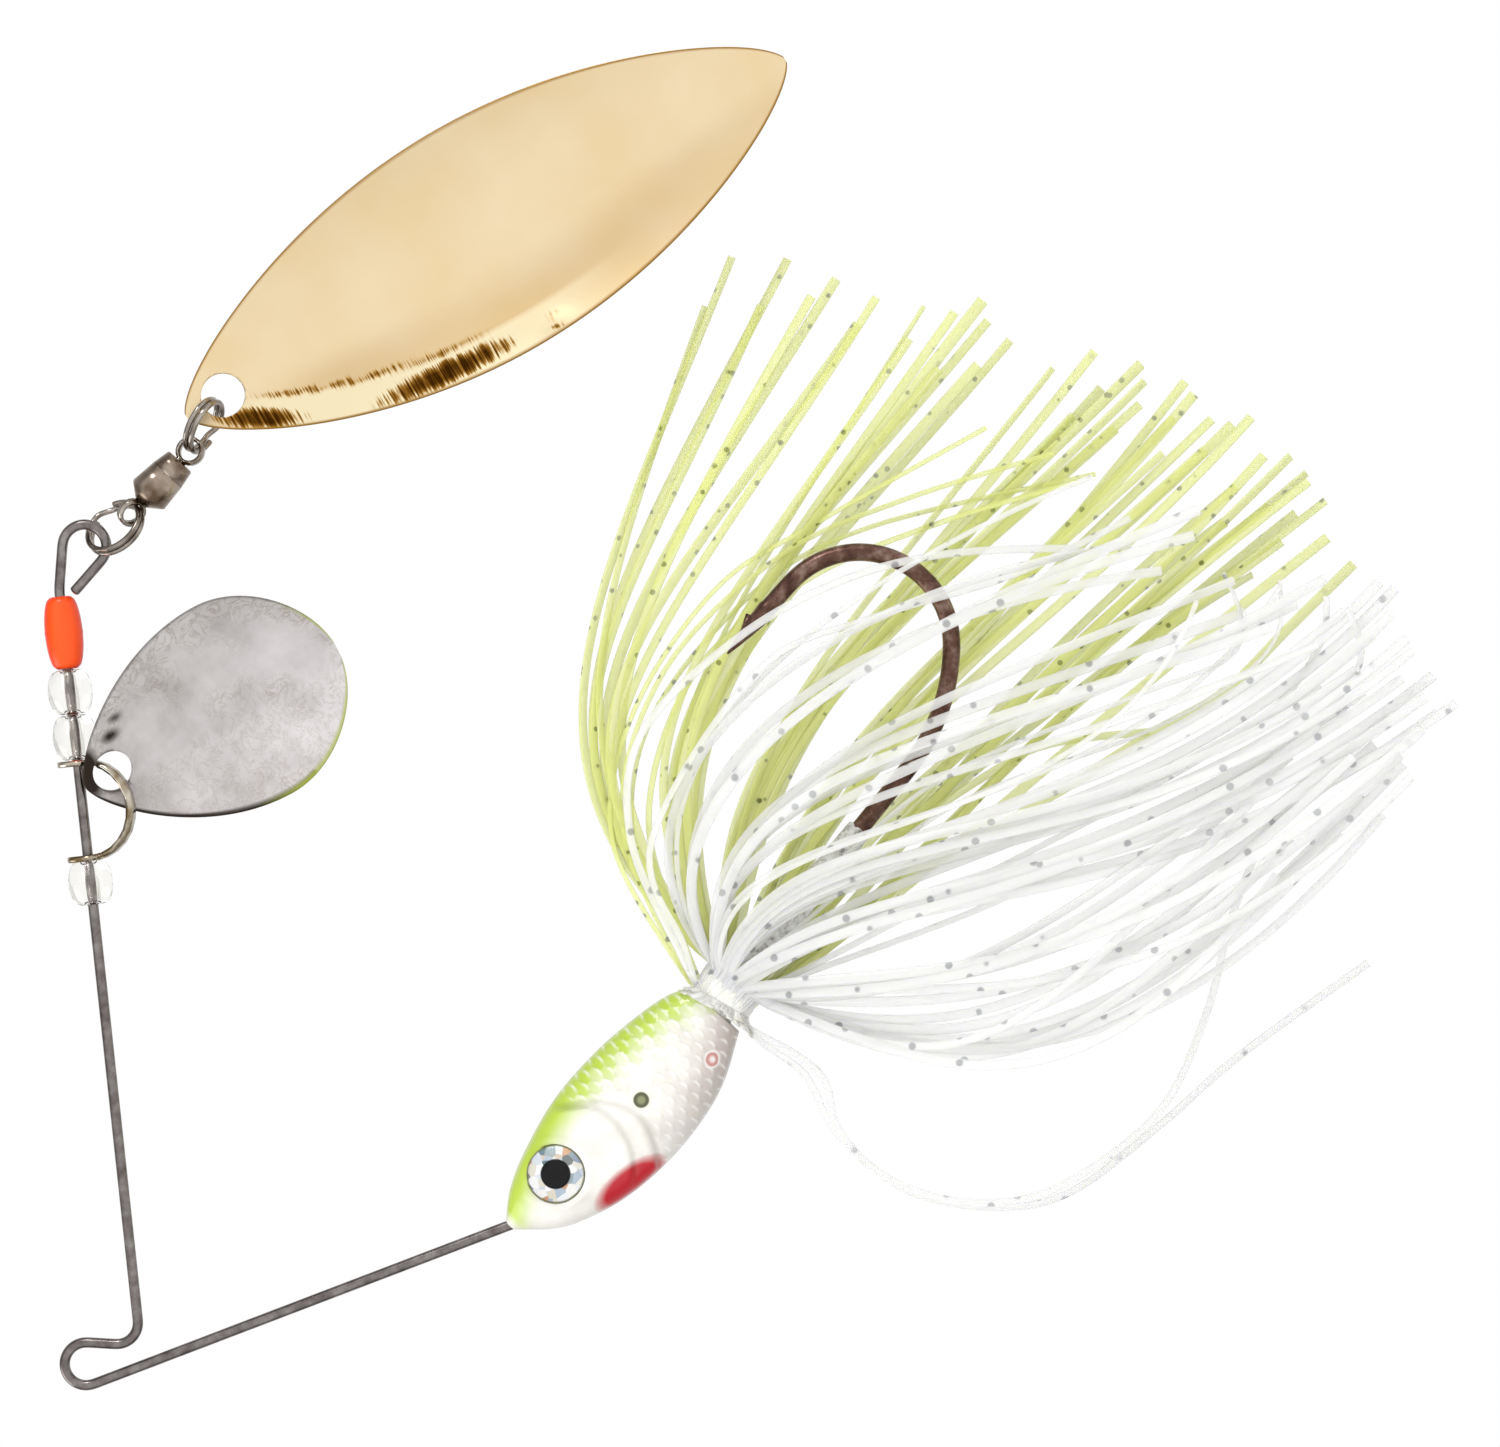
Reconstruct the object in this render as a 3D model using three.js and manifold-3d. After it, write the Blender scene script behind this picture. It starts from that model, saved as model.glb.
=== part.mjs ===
// A spinnerbait: an open wire frame with a painted fish head, hook and silicone skirt on its lower
// wire, and beads, a clevis blade and a swivel blade on its upper arm. Millimetres, +Z up.
//
// The lure is drawn flat: X and Y run across it, Z comes out of it, and the middle of the line-tie
// hairpin is the origin. The finished group is then hung from the line tie, which stays the origin.

import * as THREE from 'three';
import { mergeVertices } from 'three/addons/utils/BufferGeometryUtils.js';
import { ParametricGeometry } from 'three/addons/geometries/ParametricGeometry.js';
import Module from 'manifold-3d';

const wasm = await Module();
wasm.setup();

// ---------------------------------------------------------------- sizes

const hangAngle = 40;              // direction of gravity in the flat drawing, degrees from X

// wire frame, one length of spring wire
const wireRadius = 0.5;
const wireSides = 10;
const hairpinRadius = 2.05;        // to the wire's centre, as every bend below
const lowerWireAngle = 20.9;
const lowerWireLength = 42.4;      // from the hairpin to the nose of the head
const wireTailLength = 7;          // cast into the head
const wireTailBend = 38;
const wireTailBendRadius = 2;
const wireTailEnd = 4;
const hairpinLip = 2.7;
const hairpinLipAngle = -3.5;
const elbowRadius = 2;
const armAngle = 96.14;
const armLength = 69.8;            // straight run that the beads slide on
const loopSetAngle = 85.84;        // the arm leans back this way before the terminal loop
const loopSetRadius = 3;
const loopLead = 4;
const loopRadius = 2.1;
const tagAngle = 228.9;
const tagLength = 3.8;

// beads, counted from the terminal loop down the arm
const boreClearance = 0.25;        // every bead and ear on the wire, on the radius
const beadGap = 0.15;
const stackTop = 0.45;             // from the top of the arm's straight run to the first bead
const orangeBeadLength = 6.85;
const orangeBeadRadius = 1.8;
const orangeBeadEndRadius = 1;
const clearBeadLength = 4.2;
const clearBeadRadius = 2.1;

// clevis, a bent strap with two drilled ears
const clevisSpan = 9.1;            // between the middles of the two ears
const clevisReach = 4.9;           // from the arm's centre to the middle of the strap
const clevisThickness = 0.45;
const clevisStrapWidth = 1.2;
const clevisEarWall = 0.55;        // round the hole that the wire runs through
const clevisEarTail = 0.65;        // how much longer than round an ear is
const clevisBowStart = 0.6;        // where the ears end and the bow starts
const clevisTurn = 15;             // the strap's plane, turned about the arm
const clevisContact = 48;          // where the blade hangs on the bow, degrees up from its middle

// nickel Colorado blade
const nickelLength = 27.4;
const nickelHalfWidth = 10.6;
const nickelWidest = 17.1;         // from the hole end
const nickelDish = 2.6;
const nickelHole = 1.95;           // radius
const nickelHoleAt = 3.05;
const nickelAngle = 29;
const nickelRoll = 22;
const nickelPitch = 8;

// gold willow-leaf blade
const goldLength = 66.6;
const goldHalfWidth = 11.35;
const goldDish = 2.7;
const goldHole = 2.1;
const goldHoleAt = 4.1;
const goldAngle = 30.8;
const goldFromRing = 0.85;         // from where the ring holds it to the middle of its hole
const goldFromRingAngle = 42;

// both blades
const bladeThickness = 0.5;
const nickelEnds = [ 0.68, 0.5 ];  // how pointed the hole end and the far end are; 1 is a cusp
const goldEnds = [ 0.66, 0.66 ];

// split rings, two turns of round wire each
const ringWireRadius = 0.275;
const ringCoilGap = 0.05;
const ringEndGap = 25;             // degrees kept clear on each side of the crossover
const lowerRingRadius = 2.8;
const lowerRingAngle = 38;
const lowerRingTilt = -46;
const lowerRingFromLoop = [2.9, 1.78];
const upperRingRadius = 2.6;
const upperRingAngle = 63.3;
const upperRingTilt = 74;

// ball-bearing swivel, measured along its own axis from the shoulder of the barrel
const swivelAngle = 46.2;
const barrelRadius = 1.9;
const barrelTopRadius = 1.68;
const barrelLength = 2.55;
const barrelCone = 0.9;
const barrelConeRadius = 0.75;
const swivelWall = 0.33;
const seamGap = 0.08;
const capLength = 1.55;
const capTopRadius = 1.38;
const swivelClearance = 0.1;       // between pieces inside the swivel
const stemRadius = 0.5;
const stemHeadRadius = 1.15;
const stemHeadAt = 1.5;
const stemHeadLength = 0.7;
const lowerStemRadius = 0.4;
const lowerStemHead = 0.55;
const ballRadius = 0.3;
const ballCount = 6;
const eyeHoleClearance = 0.425;    // round the two turns of a split ring
const eyeRim = 0.38;
const eyeThickness = 0.8;
const eyeGap = 0.12;               // between an eye and the end of the swivel
const upperEyeRoll = -15.3;
const lowerEyeRoll = 43.7;
const ringInUpperEye = 0.15;       // how far the ring's wire lies past the middle of the eye
const ringInLowerEye = 0.643;
const lowerEyeInRingAngle = 42.5;  // where the lower ring holds that eye

// head, a fish-shaped lead casting; stations run from the nose along its own axis
const headAngle = 47.1;
const headLength = 28.4;
const headBack = [
	[ 0, 0.45 ], [ 0.094, 2.3 ], [ 0.225, 3.75 ], [ 0.42, 5 ],
	[ 0.63, 5.15 ], [ 0.8, 4.6 ], [ 0.92, 3.85 ], [ 1, 2.75 ],
];
const headBelly = [
	[ 0, -0.55 ], [ 0.083, -3 ], [ 0.16, -4.5 ], [ 0.32, -6.15 ],
	[ 0.51, -6.85 ], [ 0.69, -6.6 ], [ 0.84, -5.6 ], [ 1, -3.4 ],
];
const headHalfThickness = [
	[ 0, 0.5 ], [ 0.12, 2.35 ], [ 0.3, 3.2 ], [ 0.5, 3.4 ], [ 0.75, 3.1 ], [ 1, 2.1 ],
];
const headSquareness = 0.9;        // 1 is an ellipse, less is fuller
const castClearance = 0.1;         // lead round the steel cast into it
const neckRadius = 2.05;
const neckLength = 3.4;
const keeperLength = 20;           // from the neck along the shank
const keeperRadius = 1.65;
const keeperTipRadius = 1.2;

// eyes
const eyeAt = [6.8, 0.2];          // in the head's own axes
const foilRadius = 2.75;
const foilThickness = 0.25;
const domeRim = 0.1;               // thickness at the edge
const domeHeight = 0.75;
const socketGap = 0.12;
const socketFloor = 2.2;           // from the head's middle plane

// hook
const hookWireRadius = 0.85;
const hookEyeAt = [15, -1.2];      // in the head's own axes
const hookEyeRadius = 1.9;
const shankAngle = 51.1;
const shankLength = 42.7;          // from the eye's centre to the first bend
const shankBendRadius = 19;
const hookBendRadius = 8.8;
const hookPointAngle = 228.4;
const hookPointLength = 9;
const hookTaper = 6;
const hookTipRadius = 0.12;
const barbLength = 2.4;
const barbHeight = 0.8;

// skirt collar and strands
const collarClearance = 0.25;
const collarWall = 0.6;
const collarLength = 2.2;
const collarFromHookEye = 15.3;
const skirtRootRadius = 2.95;
const rootGap = 0.3;               // between the collar and the roots of the strands
const rootHalfWidth = 0.5;

// One row for each bundle of strands, seen from the middle of the collar in the flat drawing:
// where it sits round the shank, the direction it leaves in and how far it keeps to it, its tip,
// the direction it arrives in and how long it has kept to that, its width at the tip, and its rise
// out of the plane on the way and at the tip.
const chartreuseBundles = [
	[ -12, 128, 31, [ 6.9, 68.6 ], 60, 40, 10.5, -5, -4.5 ],
	[ -40, 112, 22, [ 22.3, 63.4 ], 57, 36, 8.5, -9, -5 ],
	[ -68, 88, 20, [ 36.1, 56.9 ], 51, 34, 8, -10, -5.5 ],
	[ -96, 68, 20, [ 46.3, 54.2 ], 46, 34, 6.5, -10, -6 ],
	[ -124, 50, 20, [ 54.9, 48.8 ], 40, 34, 6, -10, -6 ],
	[ -150, 28, 20, [ 59.7, 41 ], 37, 34, 5, -8, -6 ],
];
const whiteBundles = [
	[ 12, 118, 26, [ 40.3, 44.8 ], 14, 34, 6, 6, 6 ],
	[ 38, 92, 18, [ 49.8, 37.6 ], 18, 34, 5.5, 10, 6.5 ],
	[ 64, 60, 16, [ 61.3, 36 ], 22, 36, 6, 11, 7 ],
	[ 90, 34, 18, [ 64.3, 29.4 ], 26, 36, 5.5, 10, 7 ],
	[ 116, 4, 18, [ 61.8, 22.7 ], 34, 34, 6, 9, 7 ],
	[ 142, -28, 20, [ 55.3, 14.7 ], 46, 32, 6, 6, 6 ],
];
const strayStrands = [
	[ 164, -36, 24, [ 50.1, 13.4 ], 84, 26, 1.3, 2.5, 1 ],
	[ -172, -48, 22, [ 60.9, 2.8 ], 42, 30, 1.3, -2, -2.5 ],
];
const strandHalfThickness = 0.9;

// ---------------------------------------------------------------- finishes

const finishes = {
	wire: { color: 0x7a7272, roughness: 0.35, metalness: 1 },
	hook: { color: 0x5a4340, roughness: 0.4, metalness: 1 },
	nickel: { color: 0xcfcbca, roughness: 0.35, metalness: 1 },
	gold: { color: 0xe3c48f, roughness: 0.25, metalness: 1 },
	paint: { color: 0xeceae4, roughness: 0.3, metalness: 0 },
	foil: { color: 0xd8dce0, roughness: 0.25, metalness: 1 },
	resin: { color: 0xffffff, roughness: 0.05, metalness: 0 },
	orange: { color: 0xff4a10, roughness: 0.3, metalness: 0 },
	clear: { color: 0xf4f4f4, roughness: 0.1, metalness: 0 },
	rubber: { color: 0xf0f0ec, roughness: 0.6, metalness: 0 },
	chartreuse: { color: 0xd3df70, roughness: 0.45, metalness: 0 },
	white: { color: 0xf2f2f2, roughness: 0.45, metalness: 0 },
};

// ---------------------------------------------------------------- helpers

const rad = THREE.MathUtils.degToRad;
const polar = ( r, degrees ) => [ r * Math.cos( rad( degrees ) ), r * Math.sin( rad( degrees ) ) ];
const plus = ( a, b ) => [ a[ 0 ] + b[ 0 ], a[ 1 ] + b[ 1 ] ];
const turned = ( [ x, y ], degrees ) => plus( polar( x, degrees ), polar( y, degrees + 90 ) );

// A wire bent in the flat drawing, as a wire former makes it: straight runs and turns.
class BentWire {

	constructor( start, heading ) {

		this.at = start;
		this.heading = heading;
		this.points = [ start ];

	}

	go( length ) {

		this.at = plus( this.at, polar( length, this.heading ) );
		this.points.push( this.at );
		return this;

	}

	// turns to a new heading, the short way unless the turn is given in degrees
	turn( radius, degrees ) {

		const steps = Math.ceil( Math.abs( degrees ) / 18 );
		const side = Math.sign( degrees ) * 90;
		const centre = plus( this.at, polar( radius, this.heading + side ) );
		for ( let i = 1; i <= steps; i ++ ) {

			const angle = this.heading + degrees * i / steps;
			this.points.push( plus( centre, polar( radius, angle - side ) ) );

		}

		this.at = this.points.at( - 1 );
		this.heading += degrees;
		this.centre = centre;
		return this;

	}

	turnTo( radius, heading ) {

		return this.turn( radius, heading - this.heading );

	}

}

// A path that is swept point by point, so a long straight takes one step and a bend takes many.
class PointPath extends THREE.Curve {

	constructor( points ) {

		super();
		this.points = points;

	}

	getPoint( t, target = new THREE.Vector3() ) {

		return target.copy( this.points[ Math.round( t * ( this.points.length - 1 ) ) ] );

	}

	getPointAt( t, target ) {

		return this.getPoint( t, target );

	}

	getTangentAt( t, target = new THREE.Vector3() ) {

		const last = this.points.length - 1;
		const i = Math.round( t * last );
		const into = this.points[ i ].clone().sub( this.points[ Math.max( i - 1, 0 ) ] ).normalize();
		const out = this.points[ Math.min( i + 1, last ) ].clone().sub( this.points[ i ] ).normalize();
		return target.copy( into ).add( out ).normalize();

	}

}

const flatPoints = points => points.map( ( [ x, y ] ) => new THREE.Vector3( x, y, 0 ) );

function circleShape( radius, sides ) {

	const corner = i => new THREE.Vector2( ...polar( radius, 360 * ( i + 0.5 ) / sides ) );
	return new THREE.Shape( Array.from( { length: sides }, ( _, i ) => corner( i ) ) );

}

function tube( points, radius, sides ) {

	const extrudePath = new PointPath( points );
	return new THREE.ExtrudeGeometry( circleShape( radius, sides ), { steps: points.length - 1, extrudePath } );

}

// Positions only, with shared corners merged and sliver faces at poles dropped.
function merged( geometry ) {

	const plain = geometry.clone();
	for ( const name of [ 'normal', 'uv' ] ) plain.deleteAttribute( name );
	const welded = mergeVertices( plain, 1e-5 );
	const index = welded.index.array;
	const kept = [];
	for ( let i = 0; i < index.length; i += 3 ) {

		const [ a, b, c ] = index.slice( i, i + 3 );
		if ( a !== b && b !== c && c !== a ) kept.push( a, b, c );

	}

	welded.setIndex( kept );
	return welded;

}

function solid( geometry ) {

	const welded = merged( geometry );
	return new wasm.Manifold( new wasm.Mesh( {
		numProp: 3,
		vertProperties: new Float32Array( welded.attributes.position.array ),
		triVerts: new Uint32Array( welded.index.array ),
	} ) );

}

function geometryOf( manifold ) {

	const mesh = manifold.getMesh();
	const geometry = new THREE.BufferGeometry();
	geometry.setAttribute( 'position', new THREE.BufferAttribute( mesh.vertProperties, 3 ) );
	geometry.setIndex( new THREE.BufferAttribute( mesh.triVerts, 1 ) );
	geometry.computeVertexNormals();
	return geometry;

}

// A closed body made of rings: ring( along, around ) gives a point for along and around from 0 to
// 1, and the first and last rings are closed by a flat fan to their centres.
function ringBody( ring, alongSteps, aroundSteps ) {

	const centre = along => {

		const sum = new THREE.Vector3();
		for ( let i = 0; i < aroundSteps; i ++ ) sum.add( ring( along, i / aroundSteps ) );
		return sum.divideScalar( aroundSteps );

	};

	const centres = [ centre( 0 ), centre( 1 ) ];
	const stacks = alongSteps + 2;
	const place = ( u, v, target ) => {

		const row = Math.round( v * stacks ) - 1;
		const around = Math.round( u * aroundSteps ) % aroundSteps / aroundSteps;
		if ( row < 0 ) target.copy( centres[ 0 ] );
		else if ( row > alongSteps ) target.copy( centres[ 1 ] );
		else target.copy( ring( row / alongSteps, around ) );

	};

	return merged( new ParametricGeometry( place, aroundSteps, stacks ) );

}

// The value of a curve through a few points at a station from 0 to 1.
function profile( points ) {

	const curve = new THREE.SplineCurve( points.map( ( [ x, y ] ) => new THREE.Vector2( x, y ) ) );
	const table = curve.getPoints( 200 );
	return station => {

		const i = Math.max( 1, table.findIndex( p => p.x >= station - 1e-9 ) );
		const [ a, b ] = [ table[ i - 1 ], table[ i ] ];
		return THREE.MathUtils.mapLinear( station, a.x, b.x, a.y, b.y );

	};

}

const lure = new THREE.Group();

function addMesh( parent, name, geometry, finish ) {

	const mesh = new THREE.Mesh( geometry, new THREE.MeshStandardMaterial( finishes[ finish ] ) );
	mesh.name = name;
	parent.add( mesh );
	return mesh;

}

function addGroup( [ x, y ], degrees ) {

	const group = new THREE.Group();
	group.position.set( x, y, 0 );
	group.rotation.z = rad( degrees );
	lure.add( group );
	return group;

}

// ---------------------------------------------------------------- wire frame

const hairpinStart = polar( hairpinRadius, lowerWireAngle - 90 );
const nose = plus( hairpinStart, polar( lowerWireLength, lowerWireAngle ) );
const wireTail = new BentWire( nose, lowerWireAngle ).go( wireTailLength );
wireTail.turn( wireTailBendRadius, wireTailBend ).go( wireTailEnd );

const frameWire = new BentWire( hairpinStart, lowerWireAngle + 180 ).turnTo( hairpinRadius, hairpinLipAngle );
frameWire.go( hairpinLip ).turnTo( elbowRadius, armAngle );
const armFoot = frameWire.at;
frameWire.go( armLength );
const armTop = frameWire.at;
frameWire.turnTo( loopSetRadius, loopSetAngle ).go( loopLead ).turnTo( loopRadius, tagAngle - 360 );
const loopCentre = frameWire.centre;
frameWire.go( tagLength );

const wholeWire = [ ...wireTail.points.toReversed(), ...frameWire.points ];
addMesh( lure, 'wire_frame', tube( flatPoints( wholeWire ), wireRadius, wireSides ), 'wire' );

// ---------------------------------------------------------------- beads and clevis on the arm

// Distances on the arm are measured down from the top of its straight run.
const onArm = down => plus( armTop, polar( down, armAngle + 180 ) );
const armGroup = down => addGroup( onArm( down ), armAngle - 90 );

function bead( name, down, length, radius, endRadius, finish ) {

	const bore = wireRadius + boreClearance;
	const half = length / 2;
	const outline = [ new THREE.Vector2( bore, - half ), new THREE.Vector2( endRadius, - half ) ];
	const steps = 6;
	for ( let i = 1; i < steps; i ++ ) {

		const y = - half * Math.cos( Math.PI * i / steps );
		const swell = Math.sqrt( 1 - ( y / half ) ** 2 );
		outline.push( new THREE.Vector2( endRadius + ( radius - endRadius ) * swell, y ) );

	}

	outline.push( new THREE.Vector2( endRadius, half ), new THREE.Vector2( bore, half ) );
	outline.push( outline[ 0 ].clone() );
	addMesh( armGroup( down ), name, new THREE.LatheGeometry( outline, 16 ), finish );

}

let down = stackTop + orangeBeadLength / 2;
bead( 'orange_bead', down, orangeBeadLength, orangeBeadRadius, orangeBeadEndRadius, 'orange' );
down += orangeBeadLength / 2 + beadGap + clearBeadLength / 2;
const clearBeadEndRadius = clearBeadRadius * 0.55;
bead( 'clear_bead_1', down, clearBeadLength, clearBeadRadius, clearBeadEndRadius, 'clear' );
down += clearBeadLength + beadGap;
bead( 'clear_bead_2', down, clearBeadLength, clearBeadRadius, clearBeadEndRadius, 'clear' );
down += clearBeadLength / 2 + beadGap + clevisThickness / 2 + clevisSpan / 2;
const clevisDown = down;
down += clevisSpan / 2 + clevisThickness / 2 + beadGap + clearBeadLength / 2;
bead( 'clear_bead_3', down, clearBeadLength, clearBeadRadius, clearBeadEndRadius, 'clear' );

const boreRadius = wireRadius + boreClearance;
const clevisEarRadius = boreRadius + clevisEarWall;
const clevisEarEnd = clevisEarRadius + clevisEarTail;

// The strap's middle line, from the upper ear round the bow to the lower ear.
function clevisLine( offset ) {

	const high = clevisSpan / 2 + offset;
	const out = clevisReach - clevisBowStart + offset;
	const line = [ [ - clevisEarEnd, high ], [ clevisBowStart, high ] ];
	for ( let i = 1; i < 12; i ++ ) {

		const angle = rad( 90 - 180 * i / 12 );
		line.push( [ clevisBowStart + out * Math.cos( angle ), high * Math.sin( angle ) ] );

	}

	return [ ...line, [ clevisBowStart, - high ], [ - clevisEarEnd, - high ] ];

}

function clevisGeometry() {

	const half = clevisThickness / 2;
	const edge = [ ...clevisLine( half ), ...clevisLine( - half ).reverse() ];
	const side = new THREE.Shape( edge.map( ( [ x, y ] ) => new THREE.Vector2( x, y ) ) );
	const strap = new THREE.ExtrudeGeometry( side, { depth: 2 * clevisEarRadius, bevelEnabled: false } );
	strap.translate( 0, 0, - clevisEarRadius );

	const height = 2 * clevisSpan;
	const round = new THREE.CylinderGeometry( clevisEarRadius, clevisEarRadius, height, 20 );
	const ear = new THREE.BoxGeometry( clevisEarTail, height, 2 * clevisEarRadius );
	ear.translate( - clevisEarTail / 2, 0, 0 );
	const waist = new THREE.BoxGeometry( 2 * clevisReach, height, clevisStrapWidth );
	waist.translate( clevisReach, 0, 0 );
	const tail = round.clone().translate( - clevisEarTail, 0, 0 );
	const plan = solid( round ).add( solid( ear ) ).add( solid( tail ) ).add( solid( waist ) );
	const hole = solid( new THREE.CylinderGeometry( boreRadius, boreRadius, height, 16 ) );
	return geometryOf( solid( strap ).intersect( plan ).subtract( hole ) );

}

const clevisGroup = armGroup( clevisDown );
clevisGroup.rotation.order = 'ZYX';
clevisGroup.rotation.y = - rad( clevisTurn );
addMesh( clevisGroup, 'clevis', clevisGeometry(), 'nickel' );

// ---------------------------------------------------------------- blades

// A dished blade with its hole at the origin, its long axis along X and its hollow side towards +Z.
// Its outline swells from the hole end to the widest station and closes again at the far end.
function bladeGeometry( { length, halfWidth, widest, ends, dish, hole, holeAt } ) {

	const widthAt = s => s < widest
		? halfWidth * Math.sin( Math.PI / 2 * s / widest ) ** ends[ 0 ]
		: halfWidth * Math.cos( Math.PI / 2 * ( s - widest ) / ( length - widest ) ) ** ends[ 1 ];
	const across = 8;
	const endMargin = length / 500;
	const ring = ( along, around ) => {

		// stations crowd towards both ends, where the outline turns fastest
		const s = endMargin + ( length - 2 * endMargin ) * ( 1 - Math.cos( Math.PI * along ) ) / 2;
		const step = Math.round( around * 2 * ( across + 1 ) );
		const front = step <= across;
		const q = front ? 1 - 2 * step / across : 2 * ( step - across - 1 ) / across - 1;
		const width = widthAt( s );
		const y = width * q;
		const middle = dish * ( y ** 2 - width ** 2 ) / halfWidth ** 2;
		return new THREE.Vector3( s - holeAt, y, middle + ( front ? 0.5 : - 0.5 ) * bladeThickness );

	};

	const blank = solid( ringBody( ring, 24, 2 * ( across + 1 ) ) );
	const punch = new THREE.CylinderGeometry( hole, hole, 4 * dish, 20 ).rotateX( Math.PI / 2 );
	return geometryOf( blank.subtract( solid( punch ) ) );

}

const contactAngle = rad( clevisContact );
const contact = new THREE.Vector3(
	clevisBowStart + ( clevisReach - clevisBowStart ) * Math.cos( contactAngle ),
	clevisSpan / 2 * Math.sin( contactAngle ),
	0,
);
clevisGroup.updateMatrixWorld();
const nickelBlade = addMesh( lure, 'nickel_blade', bladeGeometry( {
	length: nickelLength,
	halfWidth: nickelHalfWidth,
	widest: nickelWidest,
	ends: nickelEnds,
	dish: nickelDish,
	hole: nickelHole,
	holeAt: nickelHoleAt,
} ), 'nickel' );
nickelBlade.position.copy( clevisGroup.localToWorld( contact ) );
nickelBlade.rotation.set( rad( nickelRoll ), rad( nickelPitch ), rad( nickelAngle ), 'ZYX' );

// ---------------------------------------------------------------- swivel

const eyeHole = 2 * ringWireRadius + ringCoilGap / 2 + eyeHoleClearance;
const eyeRadius = eyeHole + eyeRim;
const lowerEyeHeight = - barrelCone - eyeGap - eyeRadius;
const lowerRingCentre = plus( loopCentre, lowerRingFromLoop );
const lowerEyeAt = plus( lowerRingCentre, polar( lowerRingRadius - ringInLowerEye, lowerEyeInRingAngle ) );
const swivelAt = plus( lowerEyeAt, polar( - lowerEyeHeight, swivelAngle ) );
const swivel = addGroup( swivelAt, swivelAngle - 90 );
const alongSwivel = distance => plus( swivelAt, polar( distance, swivelAngle ) );
const lathe = ( outline, sides ) => new THREE.LatheGeometry(
	[ ...outline, outline[ 0 ] ].map( ( [ r, y ] ) => new THREE.Vector2( r, y ) ),
	sides,
);

const chamberRadius = barrelTopRadius - swivelWall;
const lowerBore = lowerStemRadius + swivelClearance;
const chamberFloor = 0.1;
addMesh( swivel, 'swivel_barrel', lathe( [
	[ lowerBore, - barrelCone ],
	[ barrelConeRadius, - barrelCone ],
	[ barrelRadius, 0 ],
	[ barrelTopRadius, barrelLength ],
	[ chamberRadius, barrelLength ],
	[ chamberRadius, chamberFloor ],
	[ lowerBore, chamberFloor ],
], 24 ), 'nickel' );

const ballsAt = stemHeadAt + stemHeadLength + swivelClearance / 2 + ballRadius;
const capShoulder = ballsAt + ballRadius + swivelClearance / 2;
const capFoot = barrelLength + seamGap;
const swivelTop = capFoot + capLength;
const mouthRadius = stemRadius + swivelClearance;
addMesh( swivel, 'swivel_cap', lathe( [
	[ chamberRadius, capFoot ],
	[ barrelTopRadius, capFoot ],
	[ capTopRadius, swivelTop ],
	[ mouthRadius, swivelTop ],
	[ mouthRadius, capShoulder ],
	[ chamberRadius, capShoulder ],
], 24 ), 'nickel' );

const ballShape = new THREE.SphereGeometry( ballRadius, 8, 6 );
const ballCircle = ( stemRadius + chamberRadius ) / 2;
for ( let i = 0; i < ballCount; i ++ ) {

	const [ x, z ] = polar( ballCircle, 360 * i / ballCount );
	addMesh( swivel, `swivel_ball_${ i + 1 }`, ballShape, 'nickel' ).position.set( x, ballsAt, z );

}

// A flattened eye in the plane of the drawing, centred at a height on the swivel's axis.
function eyeRing( height ) {

	const washer = new THREE.Shape().absarc( 0, height, eyeRadius, 0, 2 * Math.PI );
	washer.holes.push( new THREE.Path().absarc( 0, height, eyeHole, 0, 2 * Math.PI ) );
	const options = { depth: eyeThickness, bevelEnabled: false, curveSegments: 10 };
	return solid( new THREE.ExtrudeGeometry( washer, options ).translate( 0, 0, - eyeThickness / 2 ) );

}

function post( radius, from, to ) {

	const rod = new THREE.CylinderGeometry( radius, radius, to - from, 16 );
	return solid( rod.translate( 0, ( from + to ) / 2, 0 ) );

}

const rimMiddle = ( eyeRadius + eyeHole ) / 2;
const upperEyeHeight = swivelTop + eyeGap + eyeRadius;
const upperStem = post( stemRadius, stemHeadAt + stemHeadLength / 2, upperEyeHeight - rimMiddle );
const upperHead = post( stemHeadRadius, stemHeadAt, stemHeadAt + stemHeadLength );
const upperEye = geometryOf( eyeRing( upperEyeHeight ).add( upperStem ).add( upperHead ) );
addMesh( swivel, 'swivel_upper_eye', upperEye, 'nickel' ).rotation.y = rad( upperEyeRoll );

const lowerHeadFoot = chamberFloor + swivelClearance;
const lowerStem = post( lowerStemRadius, lowerEyeHeight + rimMiddle, lowerHeadFoot + lowerStemHead / 2 );
const lowerHead = post( stemHeadRadius, lowerHeadFoot, lowerHeadFoot + lowerStemHead );
const lowerEye = geometryOf( eyeRing( lowerEyeHeight ).add( lowerStem ).add( lowerHead ) );
addMesh( swivel, 'swivel_lower_eye', lowerEye, 'nickel' ).rotation.y = rad( lowerEyeRoll );

// ---------------------------------------------------------------- split rings and gold blade

// Two turns of wire lying on each other, with one crossover.
function splitRing( name, centre, radius, angle, tilt, startAngle ) {

	const rise = ringWireRadius + ringCoilGap / 2;
	const crossover = 0.8 * ringEndGap;
	const steps = 46;
	const points = [];
	for ( let i = 0; i <= steps; i ++ ) {

		const sweep = THREE.MathUtils.lerp( ringEndGap, 720 - ringEndGap, i / steps );
		const lift = THREE.MathUtils.smoothstep( sweep, 360 - crossover, 360 + crossover );
		points.push( new THREE.Vector3( ...polar( radius, startAngle + sweep ), rise * ( 2 * lift - 1 ) ) );

	}

	const group = addGroup( centre, angle );
	group.rotation.order = 'ZXY';
	group.rotation.x = rad( tilt );
	addMesh( group, name, tube( points, ringWireRadius, 6 ), 'nickel' );

}

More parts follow.
